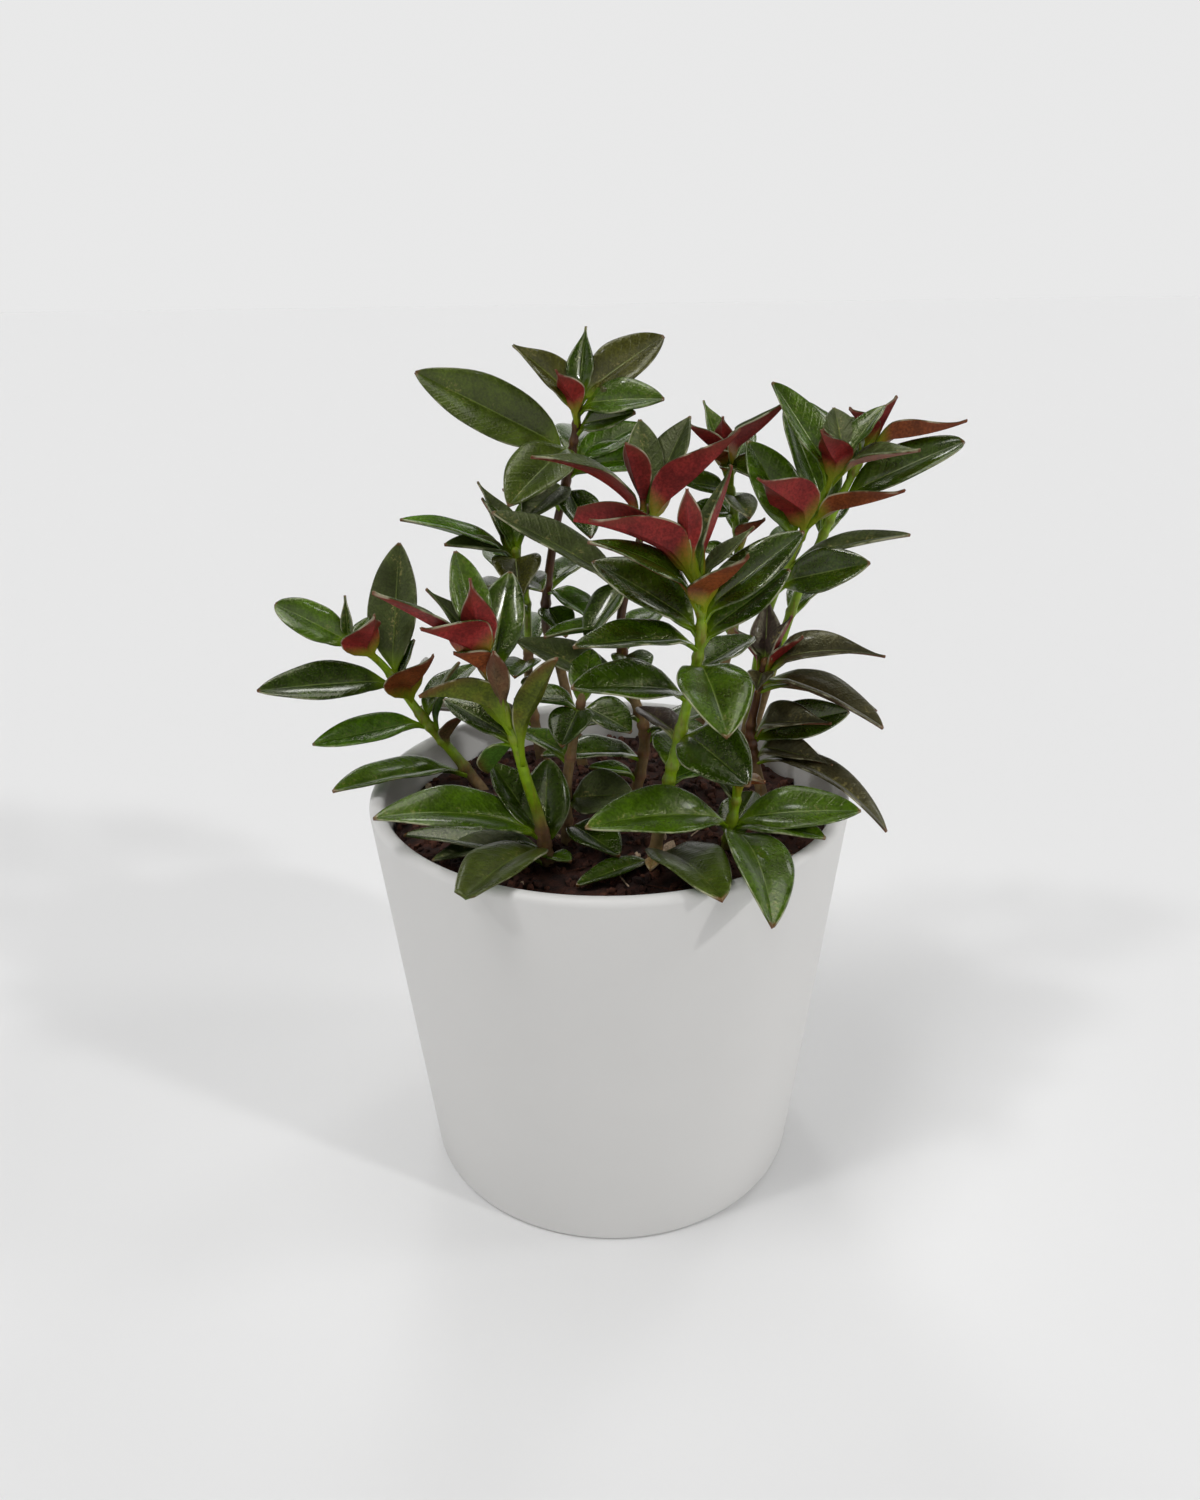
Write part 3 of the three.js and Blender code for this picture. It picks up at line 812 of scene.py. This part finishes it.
# %% The right stem
SPRIGS["sprig_right"] = {
    "stem": [(40, 16, 109), (44, 18, 138), (47, 18, 163), (53, 18, 181),
             (60, 18, 196), (68, 18, 212)],
    "bark": 130, "shoot": "lime",
    "leaves": [
        (67, -34, 18, 28, 14, 0, 60, "dark", "pale"),
        (70, 80, 20, 26, 11, 15, 0, "green", "pale"),
        (74, -11, 14, 34, 11, 10, 10, "grey", "olive"),
        (81, 153, 56, 31, 17, 5, -35, "green", "pale"),
        (88, -142, 28, 27, 15, 10, 42, "dark", "wine", {"early": 0.5, "drop": 7}),
        (90, -33, 17, 26, 10, -15, -30, "grey", "rust", {"early": 0.55, "drop": 5}),
        (100, 161, 53, 31, 14, 5, -30, "green", "olive"),
        (104, -128, 36, 18, 11, -20, 10, "dark", "wine", {"early": 0.5, "drop": 9}),
        (106, 180, 51, 10, 5, 0, 0, "green", "wine"),
        (106, 100, 50, 16, 11, 5, 0, "grey", "rust",
         {"early": 0.9, "full": 0.8, "taper": 0.9, "closing": 0.0}),
        (106, 25, 48, 18, 11, 5, 0, "green", "rust",
         {"early": 0.9, "full": 0.8, "taper": 0.9, "closing": 0.0}),
        (104, -37, 14, 23, 13, 5, 12, "grey", "rust",
         {"early": 0.7, "drop": 6, "fold": 0.4, "closing": 0.0}),
    ],
}

# %% The back right stem
SPRIGS["sprig_back_right"] = {
    "stem": [(44, 34, 109), (51, 31, 140), (59, 31, 169), (70, 33, 196), (80, 34, 217)],
    "bark": 140, "shoot": "lime",
    "leaves": [
        (55, 60, 10, 28, 12, 15, 0, "green", "pale"),
        (80, 70, 20, 28, 12, 15, 0, "green", "pale"),
        (84, 135, 62, 36, 20, 5, -10, "green", "pale", {"full": 0.7, "taper": 0.6}),
        (92, -9, 25, 37, 15, 10, 40, "dark", "olive", {"full": 0.75, "taper": 0.5}),
        (100, 90, 35, 24, 11, 10, 0, "green", "pale"),
        (102, 174, 48, 24, 10, 5, -20, "green", "olive"),
        (109, 163, 32, 16, 9, 0, -20, "grey", "rust"),
        (111, -13, 11, 26, 10, -25, -40, "grey", "rust", {"early": 0.5}),
        (112, -40, 62, 12, 7, 0, 0, "dark", "wine"),
        (112, -147, 37, 13, 9, -10, 0, "grey", "wine"),
    ],
}

# %% The mid right stem
SPRIGS["sprig_mid_right"] = {
    "stem": [(47, 0, 109), (42, 2, 132), (43, 2, 144), (45, 0, 158)],
    "bark": 120, "shoot": "maroon",
    "leaves": [
        (19, -31, -20, 44, 13, 60, 0, "brown", "brown"),
        (22, -21, -7, 24, 13, 10, 20, "brown", "rust"),
        (25, 8, 10, 30, 13, 15, 45, "dark", "brown"),
        (28, -27, 12, 24, 15, 10, 20, "brown", "rust"),
        (42, 7, -17, 37, 12, 20, 0, "brown", "brown"),
        (45, -28, -17, 37, 17, 20, 0, "brown", "brown"),
        (48, -18, 8, 33, 14, 45, 25, "brown", "rust"),
        (46, -110, -20, 10, 8, 10, 0, "brown", "rust"),
        (48, 10, 62, 15, 8, 0, 0, "purple", "wine"),
        (48, -31, 42, 14, 5, 0, 0, "brown", "wine"),
        (48, 153, 45, 13, 7, 0, 0, "brown", "wine"),
        (48, 81, 57, 20, 10, 5, 0, "purple", "wine"),
    ],
}

# %% The front right stem
SPRIGS["sprig_front_right"] = {
    "stem": [(33, -22, 109), (32, -35, 122), (33, -36, 130), (33, -36, 139)],
    "bark": 108, "shoot": "lime",
    "leaves": [
        (18, -82, -8, 41, 18, 55, -15, "green", "pale"),
        (20, -22, 2, 25, 12, 30, 10, "green", "pale"),
        (22, -157, 8, 42, 18, 30, -20, "green", "pale"),
        (22, -8, 5, 33, 15, 20, 25, "green", "pale"),
        (27, 150, 50, 9, 6, 0, 0, "grey", "pale"),
        (33, -60, 20, 12, 6, 0, 0, "rust", "rust"),
        (8, 60, 20, 20, 13, 10, 0, "dark", "pale"),
    ],
}

# %% [markdown]
# The last one is a short stem of small dark leaves, which closes the view to the soil.

# %% The inner left stem
SPRIGS["sprig_inner_left"] = {
    "stem": [(-12, -18, 109), (-12, -17, 125), (-10, -16, 138), (-8, -16, 147),
             (-7, -16, 154)],
    "bark": 158, "shoot": "lime",
    "leaves": [
        (7, -48, -7, 22, 15, 5, 0, "dark", "pale"),
        (14, -20, 10, 20, 16, 5, 30, "grey", "pale"),
        (26, 130, 5, 22, 11, 10, 0, "green", "pale"),
        (42, -25, -22, 16, 15, 10, 10, "dark", "pale"),
        (42, -110, -25, 16, 13, 10, 0, "dark", "pale"),
        (42, 180, 5, 18, 13, 10, 0, "dark", "pale"),
        (42, 80, 30, 20, 10, 10, 0, "green", "pale"),
    ],
}

# %% How many
print(len(SPRIGS), "stems with", sum(len(sprig["leaves"]) for sprig in SPRIGS.values()), "leaves")


# %% [markdown]
# ## The line of a stem
#
# A stem passes through its points on a smooth curve. The Catmull-Rom formula gives such a curve
# from four neighbouring points at a time. Walking along it in tiny steps tells how far up the stem
# each place is, so a leaf can be put at a distance.

# %% Stem line
STEPS_PER_SPAN = 40
ROOT_DEPTH = 12


def smooth_line(points):
    """Closely spaced points of a curve through all points, in millimetres."""
    points = np.array(points, dtype=float)
    first = 2 * points[0] - points[1]
    last = 2 * points[-1] - points[-2]
    points = np.vstack([first, points, last])
    line = []
    for a, b, c, d in zip(points, points[1:], points[2:], points[3:]):
        for t in np.arange(STEPS_PER_SPAN) / STEPS_PER_SPAN:
            line.append(0.5 * (2 * b + (c - a) * t + (2 * a - 5 * b + 4 * c - d) * t ** 2
                               + (3 * b - a - 3 * c + d) * t ** 3))
    line.append(points[-2])
    return np.array(line)


class StemLine:
    """A stem's curve, which can be asked for the point at a distance from the soil."""

    def __init__(self, points):
        self.line = smooth_line(points)
        steps = np.linalg.norm(np.diff(self.line, axis=0), axis=1)
        self.travelled = np.concatenate([[0], np.cumsum(steps)])
        self.length = self.travelled[-1]

    def at(self, distances):
        return np.stack([np.interp(distances, self.travelled, self.line[:, axis])
                         for axis in range(3)], axis=-1)


# %% [markdown]
# ## One leaf, modelled flat
#
# A leaf of this plant is thick: two faces, a rounded edge all round, and a midrib that is a groove
# above and a ridge below. It is modelled once as a flat slab, one unit long and from -1 to 1 across.
# A grid extruded down twice gives the upper face, a belt round the edge and the underside. Every
# leaf is then a copy of this slab, bent by its own numbers: its points say how far along (x), how
# far across (y) and how deep in the blade (z) they are. Each face is also marked as part of the
# upper side (0) or of the underside (1), because the two get different finishes.

# %% Flat leaf
STEPS_ALONG = 26
STEPS_ACROSS = 16

start_fresh()
bpy.ops.mesh.primitive_grid_add(x_subdivisions=STEPS_ALONG, y_subdivisions=STEPS_ACROSS, size=2)
flat_leaf = bpy.context.object
bpy.ops.object.mode_set(mode="EDIT")
bpy.ops.mesh.select_all(action="SELECT")
bpy.ops.transform.resize(value=(0.5, 1, 1))
bpy.ops.transform.translate(value=(0.5, 0, 1))
bpy.ops.mesh.extrude_region_move(TRANSFORM_OT_translate={"value": (0, 0, -0.5)})
bpy.ops.mesh.extrude_region_move(TRANSFORM_OT_translate={"value": (0, 0, -0.5)})
bpy.ops.mesh.select_all(action="SELECT")
bpy.ops.mesh.normals_make_consistent(inside=False)
bpy.ops.object.mode_set(mode="OBJECT")
leaf_points, leaf_faces = shape_of(flat_leaf)
leaf_sides = [int(leaf_points[face, 2].mean() < 0.5) for face in leaf_faces]
bpy.data.objects.remove(flat_leaf)
print("flat leaf:", len(leaf_faces), "faces")

# %% [markdown]
# ## The outline and the three directions
#
# The outline is pointed at both ends and widest before the middle, on a short stalk. Half a sine
# wave gives that: squeezing it to one side moves the widest place, and raising it to a power makes
# the ends rounder or sharper. Old leaves are broad. Young ones, with a red underside, clasp the
# shoot with a wide foot, end in a long point and close towards the tip.

# %% Leaf outline
STALK_SHARE = 0.07
STALK_HALF_WIDTH = 0.9
POINT_HALF_WIDTH = 0.2
OLD_LEAF = {"early": 0.88, "full": 0.8, "taper": 0.7, "fold": 0.4, "closing": 0.0, "drop": 3}
YOUNG_LEAF = {"early": 0.62, "full": 0.9, "taper": 1.6, "fold": 0.4, "closing": 0.35, "drop": 6}


def half_width(width, share, habit):
    """Half the width of a leaf at each share of its length."""
    grown = np.clip((share - STALK_SHARE) / (1 - STALK_SHARE), 0, 1)
    fullness = habit["full"] + (habit["taper"] - habit["full"]) * share
    swell = np.sin(math.pi * grown ** habit["early"]) ** fullness
    least = STALK_HALF_WIDTH + (POINT_HALF_WIDTH - STALK_HALF_WIDTH) * share
    return np.maximum(width / 2 * swell, least)


def pointing(heading, rise):
    """The direction at a heading and a rise, both in degrees."""
    heading, rise = math.radians(heading), math.radians(rise)
    return np.array([
        math.cos(rise) * math.cos(heading),
        math.cos(rise) * math.sin(heading),
        math.sin(rise),
    ])


def leaf_directions(heading, rise, roll):
    """The leaf's own three directions: along it, across it, and out of its upper face."""
    along = pointing(heading, rise)
    heading, roll = math.radians(heading), math.radians(roll)
    level = np.array([-math.sin(heading), math.cos(heading), 0])
    up = np.cross(along, level)
    across = level * math.cos(roll) + up * math.sin(roll)
    return along, across, np.cross(along, across)


# %% [markdown]
# ## Bending the slab into a leaf
#
# Seen from its end, the blade is a shallow V with full, rounded halves and an edge that rolls down.
# Along its length it arches. A small seeded wave makes no two leaves alike. All of it is added up
# as a height over the flat blade, which is why the order of those lines doesn't matter. The slab's
# depth, z, is 1 on the upper face, 0 on the underside and a half on the belt between them, which
# stands out a little, so that the edge is round.

# %% Leaf relief
BLADE = 0.9
STALK_DEPTH = 1.6
BLADE_START = 0.15
GROOVE = 0.3
RIDGE = 0.5
RIB_HALF_WIDTH = 0.55
PUFF = 0.04
EDGE_ROLL = 0.07
EDGE_THINNING = 0.45
EDGE_SHARPNESS = 8
WAVE = 0.04


def leaf_relief(y, z, share, half, habit, length, arch, luck):
    """How far out each point is, as a share and in millimetres, and how high it stands."""
    out = 0.5 * (1 - np.cos(math.pi * np.abs(y)))
    side = np.sign(y) * out
    blade = np.clip((share - STALK_SHARE) / BLADE_START, 0, 1)
    thick = STALK_DEPTH + (BLADE - STALK_DEPTH) * blade

    slope = habit["fold"] * luck.uniform(0.85, 1.15) + habit["closing"] * share
    reach = side * half * np.cos(slope * blade)
    height = out * half * np.sin(slope * blade)
    height += length * math.radians(arch) / 2 * share * (1 - share)
    height += PUFF * blade * half * np.sin(math.pi * out)
    height -= EDGE_ROLL * blade * half * out ** EDGE_SHARPNESS
    phase = luck.uniform(0, math.tau)
    waves = luck.uniform(1.2, 2.4)
    height += WAVE * half * out ** 2 * np.sin(math.tau * waves * share + phase + y)
    rib = np.exp(-(side * half / RIB_HALF_WIDTH) ** 2) * blade
    height -= GROOVE * rib * (1 - share) * (z > 0.75)
    height -= RIDGE * rib * (1 - share) * (z < 0.25)
    height -= thick * (1 - z) * (1 - EDGE_THINNING * out ** EDGE_SHARPNESS)
    return out, reach, height


# %% Bent leaf
BELT_REACH = 0.25
SWEEP = 0.035
DROP_SHARE = 0.2


def bent_leaf(line, row, luck):
    """One leaf's points in millimetres, and how far each is along, from the rib and the edge."""
    at, heading, rise, length, width, arch, roll, _, under = row[:9]
    habit = dict(YOUNG_LEAF if under in ("wine", "rust") else OLD_LEAF)
    habit.update(row[9] if len(row) > 9 else {})
    x, y, z = leaf_points.T
    share = (0.5 * x + 0.25 * (1 - np.cos(math.pi * x))) * habit.get("cut", 1)
    habit["full"] += luck.uniform(-0.1, 0.1)
    half = half_width(width, share, habit)
    out, reach, height = leaf_relief(y, z, share, half, habit, length, arch, luck)

    belt = BELT_REACH * (np.abs(z - 0.5) < 0.1)
    ends = belt * (np.abs(x - 0.5) > 0.49) * np.sign(x - 0.5)
    edges = belt * (out > 0.99) * np.sign(y)
    sweep = luck.uniform(-SWEEP, SWEEP) * length * share ** 2
    along, across, up = leaf_directions(heading, rise, roll)
    root = line.at(min(at, line.length))
    stem_way = root - line.at(min(at, line.length) - 2)
    stem_way /= np.linalg.norm(stem_way)
    drop = habit["drop"] * np.clip(1 - share / DROP_SHARE, 0, 1) ** 2
    points = (root + np.outer(length * share + ends, along)
              + np.outer(reach + edges + sweep, across)
              + np.outer(height, up) - np.outer(drop, stem_way))
    measures = np.stack([length * share, out * half, (1 - out) * half], axis=1)
    return points, measures, share


# %% [markdown]
# ## Colours of the leaves
#
# Old leaves are dark green above and pale below. Young ones are wine red below, and the redder
# they are, the closer they stand to the tip of the shoot. Each upper colour comes with how much it
# shines, from 0 to 1. The colours are stored at the points of the mesh, the shine as their alpha,
# so that one finish does for all upper faces and another one for all undersides.

# %% Leaf colours
UPPER = {
    "green": ("354d05", 0.8),
    "bright": ("3b5c05", 0.8),
    "lime": ("557910", 0.7),
    "matte": ("34420a", 0.4),
    "dark": ("293c04", 1.0),
    "worn": ("333d0d", 0.4),
    "grey": ("343f1a", 0.0),
    "olive": ("3a3a0e", 0.6),
    "brown": ("302c19", 0.3),
    "purple": ("2f2322", 0.1),
    "rust": ("805321", 0.2),
    "dead": ("9c8056", 0.0),
}
LOWER = {
    "pale": "42611f",
    "lime": "6d9418",
    "olive": "4c5612",
    "rust": "723a1c",
    "wine": "7a2422",
    "brown": "5a4630",
    "purple": "4d3438",
    "dead": "9a7a58",
}


# %% Leaves of one stem
def foliage(name, sprig, luck):
    """All leaves of one stem, as one mesh."""
    line = StemLine(sprig["stem"])
    above = (leaf_points[:, 2] > 0.25)[:, None]
    blocks, measures, shares, tones = [], [], [], []
    for row in sprig["leaves"]:
        points, measure, share = bent_leaf(line, row, luck)
        skin_colour, shine = UPPER[row[7]]
        upper = np.array(colour(skin_colour, shine))
        upper[:3] *= luck.uniform(0.82, 1.18)
        lower = np.array(colour(LOWER[row[8]], 0.0))
        blocks.append((points * MM, leaf_faces))
        measures.append(measure)
        shares.append(share)
        tones.append(np.where(above, upper, lower))
    thing = one_mesh(name, blocks)
    point_values(thing, "blade", np.concatenate(measures))
    point_values(thing, "share", np.concatenate(shares))
    point_values(thing, "tone", np.concatenate(tones))
    thing.data.materials.append(leaf_finish.material)
    thing.data.materials.append(underside.material)
    thing.data.polygons.foreach_set("material_index", leaf_sides * len(blocks))
    make_active(thing)
    bpy.ops.object.shade_smooth()
    return thing


# %% [markdown]
# ## Leaf finishes
#
# Three measures in millimetres come with every point of a leaf: how far along the leaf it is, how
# far from the midrib and how far from the edge. Both faces use them: a lime stalk, a pale line on
# the edge that comes and goes, and a brown tip. The pale line is partly the leaf's lighter margin
# and partly a painted highlight of the rounded edge. The skin is cloudy, and finely pebbled.

# %% What both faces share
def leaf_skin(finish):
    """The stored colour of a leaf, made uneven, and the two patterns that did it."""
    clouds = finish.noise(7 * MM, detail=3)
    pebbles = finish.noise(0.7 * MM, detail=3)
    skin = finish.shaded(finish.attribute("tone", "Color"), clouds.ramp(0.3, 0.7, 0.72, 1.42))
    skin = finish.shaded(skin, pebbles.ramp(0.3, 0.7, 0.7, 1.32))
    return skin, clouds, pebbles


def leaf_measures(finish):
    """The share of the length, and the three measures in millimetres."""
    return finish.attribute("share"), *finish.parts(finish.attribute("blade", "Vector"))


def leaf_ends_and_edge_sheen(finish, skin, clouds, share, from_edge):
    """The skin with a lime stalk, a brown tip, and a pale edge line: lighter margin and painted
    highlight.
    """
    skin = finish.mix(skin, colour("7c9c0c"), share.ramp(0.03, 0.22, 1, 0) * 0.75)
    # The pale line on the edge is partly the leaf's lighter margin and partly a painted highlight of
    # the rounded edge.
    line = from_edge.ramp(0, 0.1, 1, 0) * share.ramp(0.06, 0.2) * clouds.ramp(0.45, 0.62)
    skin = finish.mix(skin, colour("bdb99c"), line * 0.5)
    return finish.mix(skin, colour("6b3a22"), share.ramp(0.97, 1) * 0.7)


# %% [markdown]
# The upper face has a coat of wax, which gives a clear highlight, over a rougher skin whose pebbles
# break the light up. It also has a pale midrib, side veins that leave it at a slant, and tan
# scratches beside it, which are stronger on a dull leaf.

# %% Leaf finish
leaf_finish = Finish("waxy leaf")
skin, clouds, pebbles = leaf_skin(leaf_finish)
share, along, from_rib, from_edge = leaf_measures(leaf_finish)
shine = leaf_finish.attribute("tone", "Alpha")

rib = from_rib.ramp(0.08, 0.35, 1, 0) * share.ramp(0.55, 0.95, 1, 0)
skin = leaf_finish.mix(skin, colour("8ca04c"), rib * 0.25)
scratches = leaf_finish.noise(0.9 * MM, detail=4).ramp(0.52, 0.66)
scratches = scratches * from_rib.ramp(0.6, 3.2, 1, 0) * clouds.ramp(0.48, 0.62)
skin = leaf_finish.mix(skin, colour("a0935a"), scratches * (shine * -0.4 + 0.6))
veins = ((along - from_rib * 0.9) * 1.9).sine().ramp(0.5, 1) * from_rib.ramp(0.3, 1.5)
relief = leaf_finish.bump(pebbles, 0.2 * MM, 0.85)
leaf_finish.set(
    base_color=leaf_ends_and_edge_sheen(leaf_finish, skin, clouds, share, from_edge),
    roughness=shine * -0.22 + 0.38 + (clouds - 0.5) * 0.14,
    specular_ior_level=0.42,
    specular_tint=(1, 1, 0.6, 1),
    coat_weight=shine * 0.5,
    coat_roughness=0.12,
    normal=leaf_finish.bump(veins, 0.1 * MM, 0.5, under=relief),
)

# %% [markdown]
# The underside has no wax and hardly shines. It turns red brown in clouds, and near the edge
# towards the tip.

# %% Underside finish
underside = Finish("leaf underside")
skin, clouds, pebbles = leaf_skin(underside)
share, _, _, from_edge = leaf_measures(underside)
blush = from_edge.ramp(0.2, 3, 1, 0) * share.ramp(0.3, 0.9) + clouds.ramp(0.5, 0.7) * 0.5
skin = underside.mix(skin, colour("5c2c1c"), blush * 0.6)
underside.set(
    base_color=leaf_ends_and_edge_sheen(underside, skin, clouds, share, from_edge),
    roughness=0.45,
    specular_ior_level=0.18,
    normal=underside.bump(pebbles, 0.15 * MM, 0.5),
)

# %% [markdown]
# ## Stems
#
# A young stem is lime green and fleshy, and its foot has turned to pale brown bark. It swells into
# a knot wherever leaves grow. A curve with a radius at each point is the natural way to draw that:
# it is turned into a mesh once it is right.

# %% Stem shape
STEM_ROOT_RADIUS = 1.8
STEM_TIP_RADIUS = 1.0
STEM_SPACING = 0.8
KNOT = 0.4
KNOT_LENGTH = 1.1


def knots(sprig, distance):
    """How close each distance is to a place where leaves grow, from 0 to 1."""
    roots = np.array([row[0] for row in sprig["leaves"]])
    return np.exp(-((distance[:, None] - roots) / KNOT_LENGTH) ** 2).max(axis=1)


def drawn_tube(name, centres, radii):
    """A mesh round a line of centres, with a radius in millimetres at each."""
    curve = bpy.data.curves.new(name, "CURVE")
    curve.dimensions = "3D"
    curve.bevel_depth = MM
    curve.bevel_resolution = 5
    curve.use_fill_caps = True
    spline = curve.splines.new("POLY")
    spline.points.add(len(centres) - 1)
    for point, centre, radius in zip(spline.points, centres, radii):
        point.co = (*(centre * MM), 1)
        point.radius = radius
    thing = bpy.data.objects.new(name, curve)
    bpy.context.collection.objects.link(thing)
    make_active(thing)
    bpy.ops.object.convert(target="MESH")
    bpy.ops.object.shade_smooth()
    return bpy.context.object


# %% [markdown]
# The colour is stored at the points again. Each point of the mesh takes it from the nearest place
# on the stem's line: the shoot's colour above, bark below, and a reddish ring at every knot. The
# alpha says how much of it is bark.

# %% Stem colours
BARK_FADE = 8
STEM_COLOURS = {
    "bark": "7c6644",
    "knot": "77503a",
    "lime": "7a9a10",
    "maroon": "4a2c18",
}


def stem_mesh(name, sprig):
    """One stem, from its root in the soil to its tip, with its colours."""
    line = StemLine(sprig["stem"])
    distance = np.arange(0, line.length, STEM_SPACING)
    centres = line.at(distance)
    start = centres[1] - centres[0]
    root = centres[0] - start / np.linalg.norm(start) * ROOT_DEPTH
    radii = STEM_ROOT_RADIUS + (STEM_TIP_RADIUS - STEM_ROOT_RADIUS) * distance / line.length
    radii = radii + KNOT * knots(sprig, distance)
    radii[-1] *= 0.5
    thing = drawn_tube(name, np.vstack([root, centres]), [STEM_ROOT_RADIUS, *radii])

    points = np.array([point.co[:] for point in thing.data.vertices]) / MM
    nearest = ((points[:, None] - centres) ** 2).sum(axis=2).argmin(axis=1)
    knot = knots(sprig, distance)[nearest]
    bark = np.clip((sprig["bark"] + BARK_FADE - points[:, 2]) / BARK_FADE, 0, 1)
    shoot = np.array(colour(STEM_COLOURS[sprig["shoot"]], 0))
    wood = np.array(colour(STEM_COLOURS["bark"], 1))
    ring = np.array(colour(STEM_COLOURS["knot"], 1))
    tones = shoot + (wood - shoot) * bark[:, None]
    tones = tones + (ring - tones) * (knot * (0.25 + 0.5 * bark))[:, None]
    tones[:, 3] = bark
    point_values(thing, "tone", tones)
    return thing


# %% [markdown]
# The finish reads the stored colour, adds long streaks along the stem, and makes the bark dull and
# the young stem shiny.

# %% Stem finish
stem_finish = Finish("fleshy stem")
stem_tone = stem_finish.attribute("tone", "Color")
barky = stem_finish.attribute("tone", "Alpha")
streaks = stem_finish.noise(1.2 * MM, detail=4, where=stem_finish.place((1, 1, 0.18)))
spots = stem_finish.noise(2.5 * MM, detail=3)
stem_skin = stem_finish.mix(stem_tone, colour("7a5a1e"), streaks.ramp(0.48, 0.72) * 0.6)
stem_skin = stem_finish.shaded(stem_skin, spots.ramp(0.3, 0.7, 0.75, 1.15))
stem_finish.set(
    base_color=stem_skin,
    roughness=barky.ramp(0, 1, 0.36, 0.75),
    specular_ior_level=0.35,
    normal=stem_finish.bump(streaks, 0.25 * MM, 0.6),
)

# %% [markdown]
# ## The whole plant
#
# Every stem and its leaves take the place of one node of the solid model. A stem has its own seed,
# so that a change to one doesn't change the others.

# %% Grow every stem
for order, (name, sprig) in enumerate(SPRIGS.items()):
    luck = random.Random(100 + order)
    leaves = foliage(name + "_leaves", sprig, luck)
    keep(leaves, name + "_leaves", [name])
    stem = stem_mesh(name + "_stem", sprig)
    stem.data.materials.append(stem_finish.material)
    keep(stem, name + "_stem", [name])

# %% [markdown]
# ## Floor and light
#
# The photograph is taken in an even white studio: the background is one pale grey, and a shadow to
# the left tells where the key light is. The floor is a plain white sheet that goes on far behind
# the plant, and doesn't shine.

# %% Floor
FLOOR_SIZE = 40
FLOOR_WHITE = 0.8

start_fresh()
bpy.ops.mesh.primitive_plane_add(size=FLOOR_SIZE)
floor = bpy.context.object
floor.name = "floor"
floor_finish = Finish("pale floor")
floor_finish.set(
    base_color=(FLOOR_WHITE, FLOOR_WHITE, FLOOR_WHITE, 1),
    roughness=1.0,
    specular_ior_level=0.0,
)
floor.data.materials.append(floor_finish.material)
print("floor:", FLOOR_SIZE, "m wide")

# %% [markdown]
# The sky is the grey of the background only near the horizon. It is nearly black above, which
# keeps the leaves deep green. How far up a direction points is its z, from 0 at the horizon to 1.

# %% Sky
BACKDROP = 0.812
BACKDROP_TOP = 0.3
SKY = 0.05
SKY_START = 0.5

world = bpy.data.worlds.new("studio")
world.use_nodes = True
sky = Recipe(world.node_tree, "Background")
direction = sky.node("ShaderNodeTexCoord", output="Generated")
upness = sky.parts(direction)[2]
sky.set(color=(1, 1, 1, 1), strength=upness.ramp(BACKDROP_TOP, SKY_START, BACKDROP, SKY))
bpy.context.scene.world = world
print("sky:", BACKDROP, "near the horizon,", SKY, "above")

# %% [markdown]
# A narrow sun from the right is the key light, which gives the shadow. The other suns are soft
# boxes all round, whose reflections are the sheen on the leaves. Suns stand so far away that they
# light the whole floor evenly, and their strengths add up to a floor just as bright as the
# backdrop, so that no horizon shows.

# %% Lamps
LAMPS = {
    # The heading and the rise at which a lamp stands, its strength, and how wide it looks.
    "key": (-31, 31, 0.65, 4),
    "front box": (-100, 45, 0.15, 6),
    "left box": (-150, 50, 0.4, 6),
    "right box": (0, 35, 0.35, 12),
    "back right box": (50, 45, 0.2, 12),
    "back box": (100, 45, 0.3, 12),
    "top box": (90, 82, 0.55, 30),
    "left top box": (-150, 70, 0.8, 20),
}

for name, (heading, rise, strength, width) in LAMPS.items():
    start_fresh()
    bpy.ops.object.light_add(type="SUN")
    sun = bpy.context.object
    sun.name = name
    sun.data.energy = strength
    sun.data.angle = math.radians(width)
    sun.rotation_mode = "QUATERNION"
    sun.rotation_quaternion = Vector(pointing(heading, rise)).to_track_quat("Z", "Y")
bpy.context.scene.view_settings.view_transform = "Standard"
print(len(LAMPS), "lamps")
